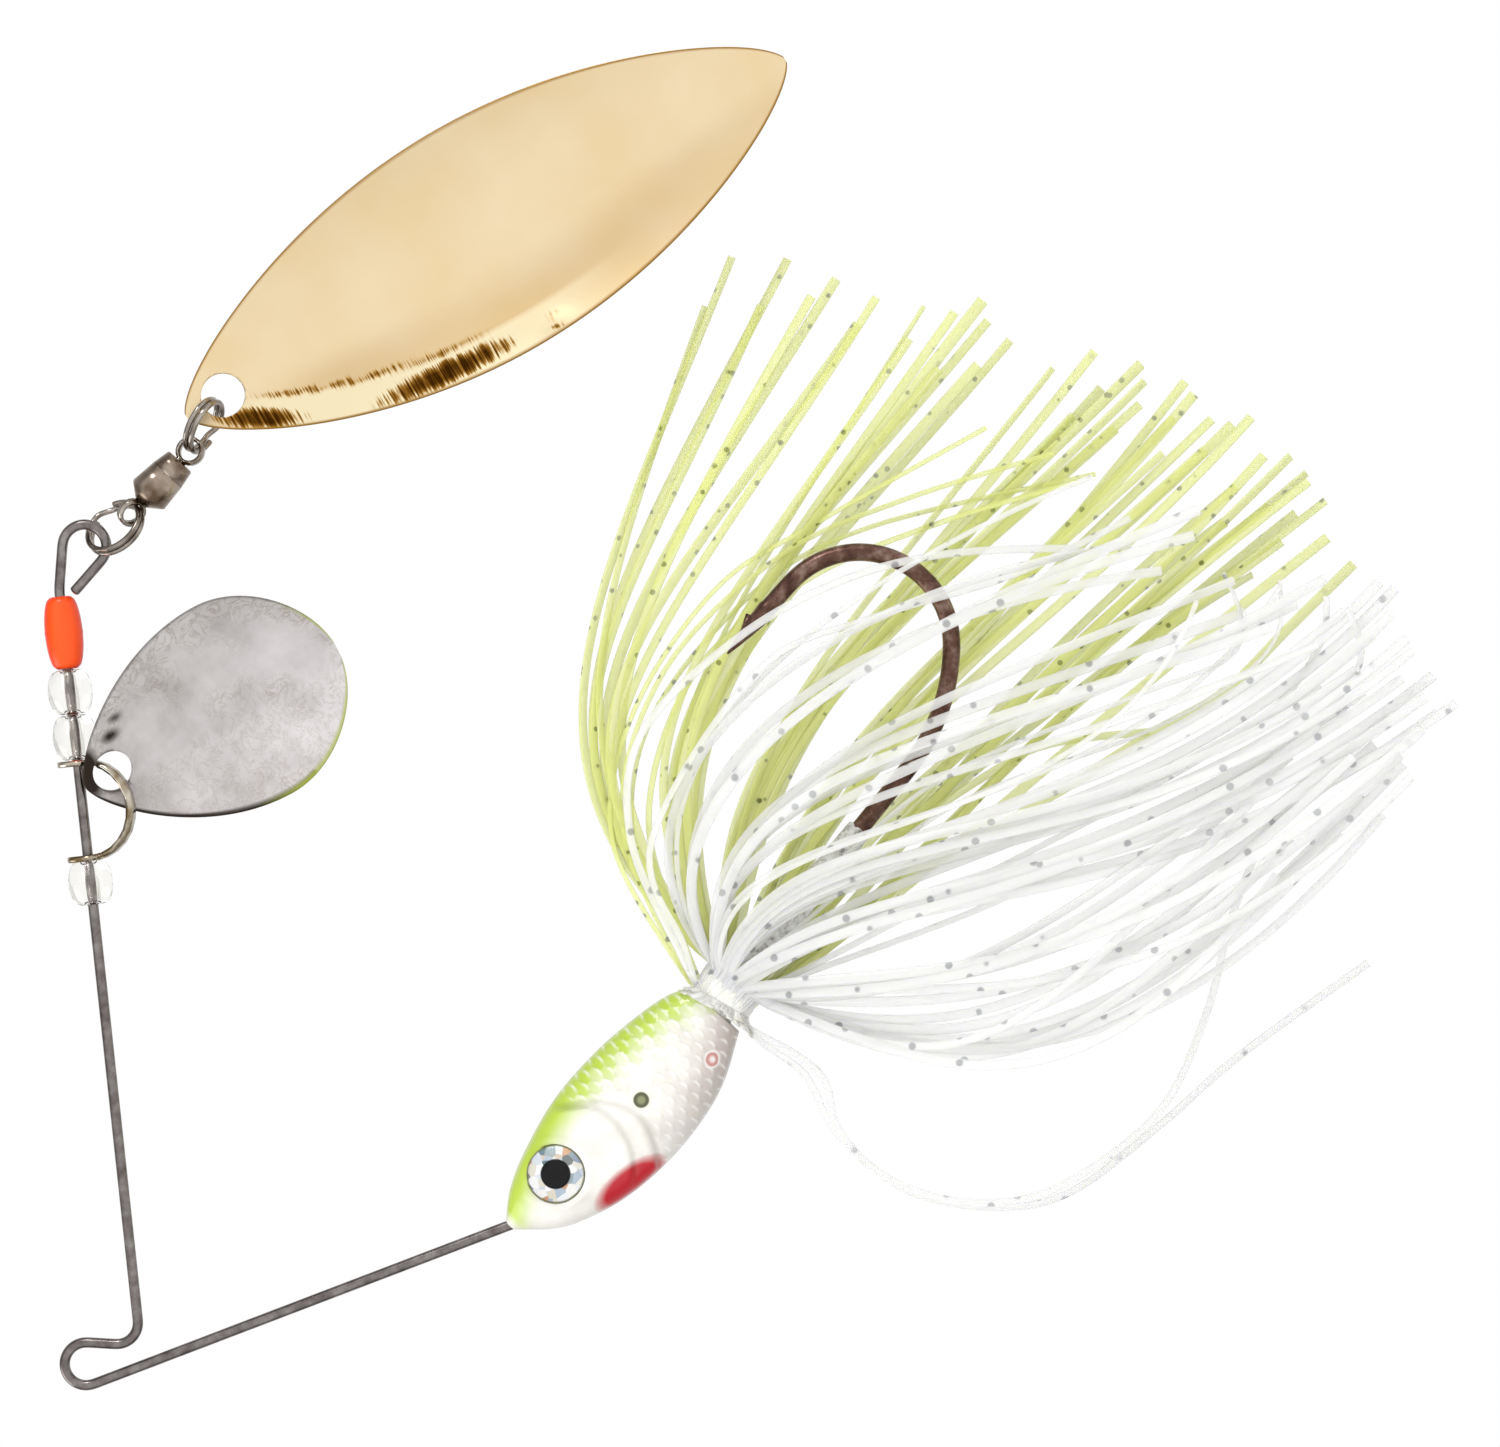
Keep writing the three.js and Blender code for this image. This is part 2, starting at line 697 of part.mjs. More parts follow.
splitRing( 'lower_split_ring', lowerRingCentre, lowerRingRadius, lowerRingAngle, lowerRingTilt, 90 );

const ringInEye = alongSwivel( upperEyeHeight + ringInUpperEye );
const upperRingCentre = plus( ringInEye, polar( upperRingRadius, upperRingAngle ) );
splitRing( 'upper_split_ring', upperRingCentre, upperRingRadius, upperRingAngle, upperRingTilt, 270 );

// the hole hangs with its rim on the ring, a little past the ring's far side
const ringInBlade = plus( upperRingCentre, polar( upperRingRadius, upperRingAngle ) );
const goldHoleCentre = plus( ringInBlade, polar( goldFromRing, goldFromRingAngle ) );
const goldBlade = addMesh( lure, 'gold_blade', bladeGeometry( {
	length: goldLength,
	halfWidth: goldHalfWidth,
	widest: goldLength / 2,
	ends: goldEnds,
	dish: goldDish,
	hole: goldHole,
	holeAt: goldHoleAt,
} ), 'gold' );
goldBlade.position.set( ...goldHoleCentre, 0 );
goldBlade.rotation.z = rad( goldAngle );

// ---------------------------------------------------------------- hook

const head = addGroup( nose, headAngle );
const hookEye = plus( nose, turned( hookEyeAt, headAngle ) );
const hookWire = new BentWire( hookEye, shankAngle ).go( shankLength );
hookWire.turnTo( shankBendRadius, 90 ).turnTo( hookBendRadius, hookPointAngle );
const hookStraight = hookWire.go( hookPointLength - hookTaper ).at;

function hookGeometry( growth ) {

	const radius = hookWireRadius + growth;
	const points = flatPoints( hookWire.points );
	points[ 0 ].copy( flatPoints( [ plus( hookEye, polar( hookEyeRadius, shankAngle ) ) ] )[ 0 ] );
	const eye = new THREE.TorusGeometry( hookEyeRadius, radius, 10, 24 ).translate( ...hookEye, 0 );
	return solid( tube( points, radius, 12 ) ).add( solid( eye ) );

}

function hookPoint() {

	const spike = new THREE.CylinderGeometry( hookTipRadius, hookWireRadius, hookTaper, 12 );
	spike.translate( 0, hookTaper / 2 - castClearance, 0 );
	const corners = [ [ 0, 0 ], [ barbHeight, 0 ], [ 0, barbLength ] ];
	const spur = new THREE.Shape( corners.map( ( [ x, y ] ) => new THREE.Vector2( x, y ) ) );
	const barb = new THREE.ExtrudeGeometry( spur, { depth: hookWireRadius / 2, bevelEnabled: false } );
	barb.translate( 0.4 * hookWireRadius, hookTaper * 0.35, - hookWireRadius / 4 );
	const point = solid( spike ).add( solid( barb ) );
	const turn = new THREE.Matrix4().makeRotationZ( rad( hookPointAngle - 90 ) );
	turn.setPosition( ...hookStraight, 0 );
	return point.transform( turn.elements );

}

addMesh( lure, 'hook', geometryOf( hookGeometry( 0 ).add( hookPoint() ) ), 'hook' );

// ---------------------------------------------------------------- head casting

const collarAt = plus( hookEye, polar( collarFromHookEye, shankAngle ) );
const alongShank = distance => plus( collarAt, polar( distance, shankAngle ) );

// A tapered post along the shank, from one distance past the collar's middle to another.
function shankPost( from, to, nearRadius, farRadius ) {

	const length = to - from;
	const cone = new THREE.CylinderGeometry( farRadius, nearRadius, length, 20 );
	cone.rotateZ( rad( shankAngle - 90 ) );
	return solid( cone.translate( ...alongShank( ( from + to ) / 2 ), 0 ) );

}

function headBodyGeometry() {

	const back = profile( headBack );
	const belly = profile( headBelly );
	const fullness = profile( headHalfThickness );
	const ring = ( along, around ) => {

		const high = back( along );
		const low = belly( along );
		const angle = 2 * Math.PI * around;
		const squared = c => Math.sign( c ) * Math.abs( c ) ** headSquareness;
		const y = ( high + low ) / 2 + ( high - low ) / 2 * squared( Math.cos( angle ) );
		const z = fullness( along ) * squared( Math.sin( angle ) );
		return new THREE.Vector3( along * headLength, y, z );

	};

	const place = new THREE.Matrix4().makeRotationZ( rad( headAngle ) ).setPosition( ...nose, 0 );
	let casting = solid( ringBody( ring, 16, 24 ).applyMatrix4( place ) );
	casting = casting.add( shankPost( - 3.5, neckLength / 2, neckRadius, neckRadius ) );
	casting = casting.add( shankPost( neckLength / 2 - 0.5, keeperLength, keeperRadius, keeperTipRadius ) );
	casting = casting.subtract( hookGeometry( castClearance ) );
	const tail = [ ...wireTail.points.toReversed(), hairpinStart ];
	casting = casting.subtract( solid( tube( flatPoints( tail ), wireRadius + castClearance, wireSides ) ) );

	const socketRadius = foilRadius + socketGap;
	for ( const side of [ 1, - 1 ] ) {

		const drill = new THREE.CylinderGeometry( socketRadius, socketRadius, 4, 24 ).rotateX( Math.PI / 2 );
		drill.translate( ...eyeAt, side * ( socketFloor + 2 ) ).applyMatrix4( place );
		casting = casting.subtract( solid( drill ) );

	}

	return geometryOf( casting );

}

addMesh( lure, 'head_body', headBodyGeometry(), 'paint' );

// ---------------------------------------------------------------- eyes

// A shallow dome with a flat back, standing on the plane y = 0.
function domeGeometry() {

	const outline = [ new THREE.Vector2( 0, 0 ), new THREE.Vector2( foilRadius, 0 ) ];
	const steps = 4;
	for ( let i = 0; i <= steps; i ++ ) {

		const angle = Math.PI / 2 * i / steps;
		const r = i === steps ? 0 : foilRadius * Math.cos( angle );
		outline.push( new THREE.Vector2( r, domeRim + domeHeight * Math.sin( angle ) ) );

	}

	return new THREE.LatheGeometry( outline, 20 );

}

for ( const [ name, side ] of [ [ 'left', 1 ], [ 'right', - 1 ] ] ) {

	const foil = new THREE.CylinderGeometry( foilRadius, foilRadius, foilThickness, 24 ).rotateX( Math.PI / 2 );
	const foilMesh = addMesh( head, `eye_foil_${ name }`, foil, 'foil' );
	foilMesh.position.set( ...eyeAt, side * ( socketFloor + socketGap + foilThickness / 2 ) );
	const dome = domeGeometry().rotateX( side * Math.PI / 2 );
	const domeMesh = addMesh( head, `eye_dome_${ name }`, dome, 'resin' );
	domeMesh.position.set( ...eyeAt, side * ( socketFloor + 2 * socketGap + foilThickness ) );

}

// ---------------------------------------------------------------- skirt

const skirt = addGroup( collarAt, 0 );
const collarInner = neckRadius + collarClearance;
const collar = addMesh( skirt, 'skirt_collar', lathe( [
	[ collarInner, - collarLength / 2 ],
	[ collarInner + collarWall, - collarLength / 2 ],
	[ collarInner + collarWall, collarLength / 2 ],
	[ collarInner, collarLength / 2 ],
], 20 ), 'rubber' );
collar.rotation.z = rad( shankAngle - 90 );

// A flat fan of strands along a curve from the collar to the tip of the bundle.
function bundleGeometry( [ round, launch, reach, tip, arrive, back, width, bulge, rise ] ) {

	const outward = skirtRootRadius * Math.cos( rad( round ) );
	const rootPlace = turned( [ collarLength / 2 + rootGap, outward ], shankAngle );
	const root = new THREE.Vector3( ...rootPlace, skirtRootRadius * Math.sin( rad( round ) ) );
	const leave = new THREE.Vector3( ...plus( rootPlace, polar( reach, launch ) ), bulge );
	const arriveFrom = new THREE.Vector3( ...plus( tip, polar( - back, arrive ) ), bulge + rise / 3 );
	const end = new THREE.Vector3( ...tip, rise );
	const path = new THREE.CubicBezierCurve3( root, leave, arriveFrom, end );
	const up = new THREE.Vector3( 0, 0, 1 );
	const ring = ( along, around ) => {

		const middle = path.getPointAt( along );
		const tangent = path.getTangentAt( along );
		const across = new THREE.Vector3().crossVectors( up, tangent ).normalize();
		const normal = new THREE.Vector3().crossVectors( tangent, across );
		const spread = along ** 1.3;
		const halfWidth = THREE.MathUtils.lerp( rootHalfWidth, width / 2, spread );
		const tipHalfThickness = Math.min( strandHalfThickness, width / 2 );
		const halfThick = THREE.MathUtils.lerp( rootHalfWidth, tipHalfThickness, spread );
		const [ a, b ] = polar( 1, 360 * around );
		return middle.addScaledVector( across, a * halfWidth ).addScaledVector( normal, b * halfThick );

	};

	return ringBody( ring, 14, 8 );

}

function addBundles( name, rows, finish ) {

	rows.forEach( ( row, i ) => addMesh( skirt, `${ name }_${ i + 1 }`, bundleGeometry( row ), finish ) );

}

addBundles( 'skirt_chartreuse', chartreuseBundles, 'chartreuse' );
addBundles( 'skirt_white', whiteBundles, 'white' );
addBundles( 'skirt_stray', strayStrands, 'white' );

// ---------------------------------------------------------------- hung from the line tie

const [ downX, downY ] = polar( 1, hangAngle );
const hung = new THREE.Matrix4().makeBasis(
	new THREE.Vector3( - downY, 0, - downX ),
	new THREE.Vector3( downX, 0, - downY ),
	new THREE.Vector3( 0, - 1, 0 ),
);
lure.setRotationFromMatrix( hung );

export default lure;
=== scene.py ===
import math
import random

import bmesh
import bpy
from mathutils import Matrix, Vector
from mathutils.geometry import interpolate_bezier


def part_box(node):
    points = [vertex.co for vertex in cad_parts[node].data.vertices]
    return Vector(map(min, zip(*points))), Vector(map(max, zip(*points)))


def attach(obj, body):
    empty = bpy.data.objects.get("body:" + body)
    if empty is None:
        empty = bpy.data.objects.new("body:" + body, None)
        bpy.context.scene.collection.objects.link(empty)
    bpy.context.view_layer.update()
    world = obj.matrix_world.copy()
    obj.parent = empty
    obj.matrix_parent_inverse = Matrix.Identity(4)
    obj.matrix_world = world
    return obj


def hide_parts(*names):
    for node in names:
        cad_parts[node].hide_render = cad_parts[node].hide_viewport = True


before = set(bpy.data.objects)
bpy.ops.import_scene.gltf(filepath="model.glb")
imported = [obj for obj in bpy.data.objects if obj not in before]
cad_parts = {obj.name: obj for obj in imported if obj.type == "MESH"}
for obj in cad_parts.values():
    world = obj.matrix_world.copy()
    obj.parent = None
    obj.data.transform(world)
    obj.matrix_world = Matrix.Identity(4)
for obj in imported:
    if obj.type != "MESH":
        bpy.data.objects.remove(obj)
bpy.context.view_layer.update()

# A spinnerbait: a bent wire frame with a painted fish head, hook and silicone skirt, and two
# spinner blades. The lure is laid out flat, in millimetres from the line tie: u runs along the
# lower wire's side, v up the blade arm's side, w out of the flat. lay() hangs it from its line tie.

bl_info = {
    "name": "Spinnerbait",
    "version": (1, 0, 0),
    "blender": (4, 5, 0),
    "location": "3D View > Sidebar > Lure",
    "description": "Builds a spinnerbait round its packed model",
    "category": "Add Mesh",
}

MM = 0.001
HANG = math.radians(40)            # direction of gravity in the flat, from u
FLAT_U = Vector((-math.sin(HANG), 0, -math.cos(HANG)))
FLAT_V = Vector((math.cos(HANG), 0, -math.sin(HANG)))
FLAT_W = Vector((0, -1, 0))
FLAT_TO_HUNG = Matrix((FLAT_U, FLAT_V, FLAT_W)).transposed().to_4x4()


def lay(u, v, w=0.0):
    """A point of the flat lure, in millimetres, as it hangs, in metres."""
    return (FLAT_U * u + FLAT_V * v + FLAT_W * w) * MM


def polar(length, degrees):
    """A step of that length in the flat, in that direction."""
    angle = math.radians(degrees)
    return Vector((length * math.cos(angle), length * math.sin(angle)))


def direction(degrees):
    """A direction in the flat, as it hangs."""
    step = polar(1, degrees)
    return (FLAT_U * step.x + FLAT_V * step.y).normalized()


def linear(code):
    """An sRGB hex colour as linear numbers."""
    parts = [int(code[i:i + 2], 16) / 255 for i in (1, 3, 5)]
    lit = [c / 12.92 if c <= 0.04045 else ((c + 0.055) / 1.055) ** 2.4 for c in parts]
    return (*lit, 1.0)


def smoothstep(low, high, x):
    """0 at low, 1 at high, and smooth between."""
    t = min(1.0, max(0.0, (x - low) / (high - low)))
    return t * t * (3 - 2 * t)


# ------------------------------------------------------------------ sizes, in millimetres

WIRE_RADIUS = 0.5
HAIRPIN_RADIUS = 2.05
HAIRPIN_LIP = 2.7
HAIRPIN_LIP_ANGLE = -3.5
ELBOW_RADIUS = 2
LOWER_WIRE_ANGLE = 20.9
LOWER_WIRE_LENGTH = 42.4
TAIL_LENGTH = 7                    # the end of the wire that is cast into the head
TAIL_BEND = 38
TAIL_BEND_RADIUS = 2
TAIL_END = 4
ARM_ANGLE = 96.14
ARM_LENGTH = 69.8
LOOP_SET_ANGLE = 85.84
LOOP_SET_RADIUS = 3
LOOP_LEAD = 4.0
LOOP_RADIUS = 2.1
TAG_ANGLE = 228.9
TAG_LENGTH = 3.8
BEAD_BORE = 0.62                   # radius
BLADE_HALF_THICKNESS = 0.25
SHANK_ANGLE = 51.1
SHANK_LENGTH = 42.7
SHANK_BEND_RADIUS = 19
HOOK_BEND_RADIUS = 8.8
HOOK_POINT_ANGLE = 228.4
HOOK_POINT_LEAD = 3.0
HOOK_POINT_TAPER = 6
HOOK_START = 2.2                   # past the hook's eye, inside the head
HEAD_ANGLE = 47.1
HEAD_LENGTH = 28.4
HOOK_EYE_AT = Vector((15, -1.2))
HOOK_RADIUS = 0.85
COLLAR_FROM_HOOK_EYE = 15.3
SKIRT_ROOT_RADIUS = 2.95
SOCKET_RADIUS = 2.83
FOIL_RADIUS = 2.75

# a blade's length, half width, widest station, the two end exponents, dish, and its hole's
# radius and place
GOLD_SIZE = (66.6, 11.35, 33.3, 0.66, 0.66, 2.7, 2.1, 4.1)
NICKEL_SIZE = (27.4, 10.6, 17.1, 0.68, 0.5, 2.6, 1.95, 3.05)
NICKEL_HOLE = NICKEL_SIZE[6]

# in metres, as it hangs
FLOOR_RADIUS = 0.3
FLOOR_HEIGHT = -0.25


def turned(point, degrees):
    """A flat vector, turned."""
    return polar(point[0], degrees) + polar(point[1], degrees + 90)


class BentWire:
    """A wire laid out as a wire former bends it: straight runs and turns."""

    def __init__(self, start, heading):
        self.at = Vector(start)
        self.heading = heading
        self.points = [self.at.copy()]

    def go(self, length, steps=1):
        start = self.at.copy()
        for i in range(1, steps + 1):
            self.at = start + polar(length * i / steps, self.heading)
            self.points.append(self.at.copy())
        return self

    def turn_to(self, radius, heading):
        degrees = heading - self.heading
        side = math.copysign(90, degrees)
        centre = self.at + polar(radius, self.heading + side)
        steps = math.ceil(abs(degrees) / 6)
        for i in range(1, steps + 1):
            angle = self.heading + degrees * i / steps - side
            self.points.append(centre + polar(radius, angle))
        self.at = self.points[-1].copy()
        self.heading = heading
        return self


hairpin_start = polar(HAIRPIN_RADIUS, LOWER_WIRE_ANGLE - 90)
NOSE = hairpin_start + polar(LOWER_WIRE_LENGTH, LOWER_WIRE_ANGLE)
arm_wire = BentWire(hairpin_start, LOWER_WIRE_ANGLE + 180)
arm_wire.turn_to(HAIRPIN_RADIUS, HAIRPIN_LIP_ANGLE).go(HAIRPIN_LIP)
arm_wire.turn_to(ELBOW_RADIUS, ARM_ANGLE).go(ARM_LENGTH, 40)
ARM_TOP = arm_wire.at.copy()
arm_wire.turn_to(LOOP_SET_RADIUS, LOOP_SET_ANGLE).go(LOOP_LEAD)
arm_wire.turn_to(LOOP_RADIUS, TAG_ANGLE - 360).go(TAG_LENGTH)
tail_wire = BentWire(NOSE, LOWER_WIRE_ANGLE).go(TAIL_LENGTH)
tail_wire.turn_to(TAIL_BEND_RADIUS, LOWER_WIRE_ANGLE + TAIL_BEND).go(TAIL_END)

HOOK_EYE = NOSE + turned(HOOK_EYE_AT, HEAD_ANGLE)
COLLAR = HOOK_EYE + polar(COLLAR_FROM_HOOK_EYE, SHANK_ANGLE)


# ------------------------------------------------------------------ mesh helpers


def new_object(name, mesh, material):
    """Links a mesh to the scene with one material, its faces turned outwards and smooth."""
    shape = bmesh.new()
    shape.from_mesh(mesh)
    bmesh.ops.remove_doubles(shape, verts=shape.verts, dist=1e-7)
    bmesh.ops.recalc_face_normals(shape, faces=shape.faces)
    shape.to_mesh(mesh)
    shape.free()
    mesh.polygons.foreach_set("use_smooth", [True] * len(mesh.polygons))
    mesh.materials.clear()
    mesh.materials.append(material)
    obj = bpy.data.objects.new(name, mesh)
    bpy.context.scene.collection.objects.link(obj)
    return obj


def set_values(mesh, values):
    """Puts named values on a mesh's points."""
    for key, numbers in values.items():
        mesh.attributes.new(key, "FLOAT", "POINT").data.foreach_set("value", numbers)


def shell(name, verts, faces, material, values=None):
    """An object from points and faces, with named values on its points."""
    mesh = bpy.data.meshes.new(name)
    mesh.from_pydata([tuple(v) for v in verts], [], faces)
    set_values(mesh, values or {})
    return new_object(name, mesh, material)


def seat(obj, body, slot, *nodes):
    """Puts a finished piece on its body, in place of its plain solids."""
    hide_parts(*nodes)
    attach(obj, body)


def grid_faces(rows, columns, start=0):
    """Quads over rows of points, each row closed on itself."""
    faces = []
    for r in range(rows - 1):
        for c in range(columns):
            a = start + r * columns + c
            b = start + r * columns + (c + 1) % columns
            faces.append((a, b, b + columns, a + columns))
    return faces


def capped_faces(rows, columns):
    """The same quads, with the first and the last row closed by a face each."""
    last = (rows - 1) * columns
    ends = [tuple(reversed(range(columns))), tuple(range(last, last + columns))]
    return grid_faces(rows, columns) + ends


def tube(points, radius, sides):
    """A round rod along points, in metres, with rounded ends. radius may be one for each point."""
    count = len(points)
    tangents = []
    for i in range(count):
        step = points[min(i + 1, count - 1)] - points[max(i - 1, 0)]
        tangents.append(step.normalized())
    normal = tangents[0].orthogonal().normalized()
    if abs(tangents[0].dot(FLAT_W)) < 0.9:
        normal = (FLAT_W - tangents[0] * FLAT_W.dot(tangents[0])).normalized()
    rings = []
    for i, (point, tangent) in enumerate(zip(points, tangents)):
        normal = (normal - tangent * normal.dot(tangent)).normalized()
        side = tangent.cross(normal)
        size = radius[i] if isinstance(radius, list) else radius
        rings.append((point, normal.copy(), side, size))

    def cap(ring, out, share):
        point, normal, side, size = ring
        shrink = math.sqrt(1 - (share * 0.98) ** 2)
        return point + out * (size * 0.5 * share), normal, side, size * shrink

    shaped = [cap(rings[0], -tangents[0], share) for share in (1.0, 0.75, 0.4)] + rings
    shaped += [cap(rings[-1], tangents[-1], share) for share in (0.4, 0.75, 1.0)]
    verts = []
    for point, normal, side, size in shaped:
        for s in range(sides):
            angle = 2 * math.pi * s / sides
            verts.append(
                point + normal * (size * math.cos(angle)) + side * (size * math.sin(angle)))
    return verts, capped_faces(len(shaped), sides)


def lathe(profile, centre, axis, steps):
    """A turned ring: a closed outline of radius and height, in millimetres, round an axis."""
    side = (FLAT_W if abs(axis.dot(FLAT_W)) < 0.9 else FLAT_U).normalized()
    side = (side - axis * side.dot(axis)).normalized()
    other = axis.cross(side)
    verts = []
    for radius, height in profile:
        for s in range(steps):
            angle = 2 * math.pi * s / steps
            out = side * math.cos(angle) + other * math.sin(angle)
            verts.append(centre + (axis * height + out * radius) * MM)
    faces = grid_faces(len(profile), steps)
    last = (len(profile) - 1) * steps
    for s in range(steps):
        after = (s + 1) % steps
        faces.append((last + s, last + after, after, s))
    return verts, faces


def rounded(corners, radius, steps=4):
    """A closed outline of corners, in order, with each corner rounded."""
    outline = []
    count = len(corners)
    for i in range(count):
        here = Vector(corners[i])
        before = Vector(corners[i - 1]) - here
        after = Vector(corners[(i + 1) % count]) - here
        reach = min(radius, before.length / 2.1, after.length / 2.1)
        start = here + before.normalized() * reach
        end = here + after.normalized() * reach
        for k in range(steps + 1):
            t = k / steps
            outline.append(start * (1 - t) ** 2 + here * 2 * t * (1 - t) + end * t ** 2)
    return [tuple(p) for p in outline]


def refined(node, name, material, bevel, growth=0.0):
    """A copy of a plain solid with rounded edges and smooth curved faces, a little fuller."""
    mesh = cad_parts[node].data.copy()
    shape = bmesh.new()
    shape.from_mesh(mesh)
    bmesh.ops.remove_doubles(shape, verts=shape.verts, dist=1e-6)
    bmesh.ops.dissolve_limit(
        shape, angle_limit=math.radians(2), verts=shape.verts, edges=shape.edges
    )
    sharp = [e for e in shape.edges if len(e.link_faces) == 2 and e.calc_face_angle(0) > 0.7]
    bmesh.ops.bevel(shape, geom=sharp, offset=bevel * MM, segments=2, affect="EDGES")
    bmesh.ops.recalc_face_normals(shape, faces=shape.faces)
    shape.normal_update()
    for vertex in shape.verts:
        vertex.co += vertex.normal * growth * MM
    shape.to_mesh(mesh)
    shape.free()
    return new_object(name, mesh, material)


def cut(obj, other):
    """Cuts another closed object out of this one, and removes the other."""
    modifier = obj.modifiers.new("cut", "BOOLEAN")
    modifier.operation = "DIFFERENCE"
    modifier.solver = "EXACT"
    modifier.object = other
    graph = bpy.context.evaluated_depsgraph_get()
    mesh = bpy.data.meshes.new_from_object(obj.evaluated_get(graph))
    obj.modifiers.clear()
    obj.data = mesh
    bpy.data.objects.remove(other)


# ------------------------------------------------------------------ materials


def join(tree, node, sockets):
    """Gives each of a node's sockets its value, or a link from another socket."""
    for key, value in sockets.items():
        if isinstance(value, bpy.types.NodeSocket):
            tree.links.new(value, node.inputs[key])
        else:
            node.inputs[key].default_value = value


def add(tree, kind, sockets=None, **settings):
    """Adds one node with its settings and sockets."""
    made = tree.nodes.new(kind)
    for name, value in settings.items():
        setattr(made, name, value)
    join(tree, made, sockets or {})
    return made


def ramp(tree, factor, stops):
    """A colour ramp over places and linear colours."""
    made = tree.nodes.new("ShaderNodeValToRGB")
    elements = made.color_ramp.elements
    while len(elements) < len(stops):
        elements.new(1.0)
    for element, (place, colour) in zip(elements, stops):
        element.position = place
        element.color = colour
    join(tree, made, {"Fac": factor})
    return made.outputs["Color"]


def tones(tree, factor, *stops):
    """A colour ramp over places and hex colours."""
    return ramp(tree, factor, [(place, linear(code)) for place, code in stops])


def noise(tree, place, pitch, detail, **more):
    """Cloudy noise whose features are about pitch millimetres apart."""
    sockets = {"Vector": place, "Scale": per_mm(pitch), "Detail": detail, **more}
    return add(tree, "ShaderNodeTexNoise", sockets).outputs["Fac"]


def cells(tree, place, pitch):
    """A Voronoi texture with cells of about pitch millimetres, and a random number for each."""
    made = add(tree, "ShaderNodeTexVoronoi", {"Vector": place, "Scale": per_mm(pitch)})
    pick = add(tree, "ShaderNodeSeparateColor", {"Color": made.outputs["Color"]})
    return made.outputs["Distance"], pick.outputs[0]


def maths(tree, operation, *values):
    """One sum on one or two values."""
    return add(tree, "ShaderNodeMath", dict(enumerate(values)), operation=operation).outputs[0]


def span(tree, value, low, high, start=0.0, end=1.0):
    """The value, mapped from low..high to start..end and held there."""
    return add(tree, "ShaderNodeMapRange", {
        "Value": value, "From Min": low, "From Max": high, "To Min": start,
        "To Max": end}).outputs[0]


def mix(tree, factor, colour, other):
    """A colour that turns into another, a hex one or a socket."""
    other = linear(other) if isinstance(other, str) else other
    return add(tree, "ShaderNodeMix", {"Factor": factor, "A": colour, "B": other},
               data_type="RGBA").outputs["Result"]


def painted(tree, name):
    """A named value on the mesh's points."""
    return add(tree, "ShaderNodeAttribute", attribute_name=name).outputs["Fac"]


def bump(tree, height, strength, depth):
    """A bumped normal, with its depth in millimetres."""
    return add(tree, "ShaderNodeBump", {
        "Height": height, "Strength": strength, "Distance": depth * MM}).outputs["Normal"]


def new_material(name):
    """A new material, its node tree and its object coordinates."""
    material = bpy.data.materials.new(name)
    material.use_nodes = True
    tree = material.node_tree
    return material, tree, add(tree, "ShaderNodeTexCoord").outputs["Object"]


def shaded(material, sockets):
    """The material, once its shader's sockets have their values and links."""
    join(material.node_tree, material.node_tree.nodes["Principled BSDF"], sockets)
    return material


def per_mm(pitch):
    """The texture scale that repeats about once in that many millimetres."""
    return 1000 / pitch


def drawn_steel():
    """Stainless spring wire, drawn through a die: long fine streaks and a soft sheen."""
    material, tree, place = new_material("drawn stainless spring wire")
    tone = tones(tree, noise(tree, place, 1.1, 3),
                 (0.3, "#6B6362"), (0.55, "#8A8381"), (0.75, "#A39D9A"))
    return shaded(material, {
        "Base Color": tone, "Normal": bump(tree, noise(tree, place, 0.18, 2), 0.12, 0.02),
        "Metallic": 1, "Roughness": 0.24})


def bronzed_steel():
    """Carbon steel hook wire, forged and bronzed: dark, with rubbed lighter streaks."""
    material, tree, place = new_material("bronzed carbon steel")
    tone = tones(tree, noise(tree, place, 1.6, 6, Roughness=0.65),
                 (0.32, "#4A322C"), (0.5, "#6E5046"), (0.68, "#9C8278"))
    return shaded(material, {
        "Base Color": tone, "Normal": bump(tree, noise(tree, place, 0.25, 4), 0.25, 0.03),
        "Metallic": 0.85, "Roughness": 0.34})


def bright_nickel(name, tone, dark, rough):
    """Nickel plate on small turned or stamped parts: mirror-like, with a warm cloudy tone."""
    material, tree, place = new_material(name)
    colour = tones(tree, noise(tree, place, 2.2, 4), (0.35, dark), (0.6, tone))
    return shaded(material, {"Base Color": colour, "Metallic": 1, "Roughness": rough})


def tarnished_nickel():
    """Nickel-plated brass that has dulled: pale grey, clouded, with fine brownish veins, and painted
    shade on its lower rim.
    """
    material, tree, place = new_material("tarnished nickel plate")
    colour = tones(tree, noise(tree, place, 6, 5, Roughness=0.6),
                   (0.3, "#BFBAB9"), (0.5, "#D6D1D1"), (0.72, "#E6E2E2"))
    veins = noise(tree, place, 2.4, 9, Roughness=0.72, Distortion=1.4)
    near = maths(tree, "ABSOLUTE", maths(tree, "SUBTRACT", veins, 0.5))
    patch = span(tree, noise(tree, place, 5.5, 3), 0.5, 0.66, 0.0, 0.6)
    more = maths(tree, "MAXIMUM", patch, painted(tree, "vein"))
    stain = maths(tree, "MULTIPLY", span(tree, near, 0.0, 0.03, 1, 0), more)
    colour = mix(tree, stain, colour, "#9C8F82")
    # edge: a thin dark line round the rim, painted shade on the lower rim, and dark patches by the
    # hole
    colour = mix(tree, painted(tree, "edge"), colour, "#2A1E14")
    colour = mix(tree, painted(tree, "green"), colour, "#AEB84C")
    return shaded(material, {"Base Color": colour, "Metallic": 0.5, "Roughness": 0.58})


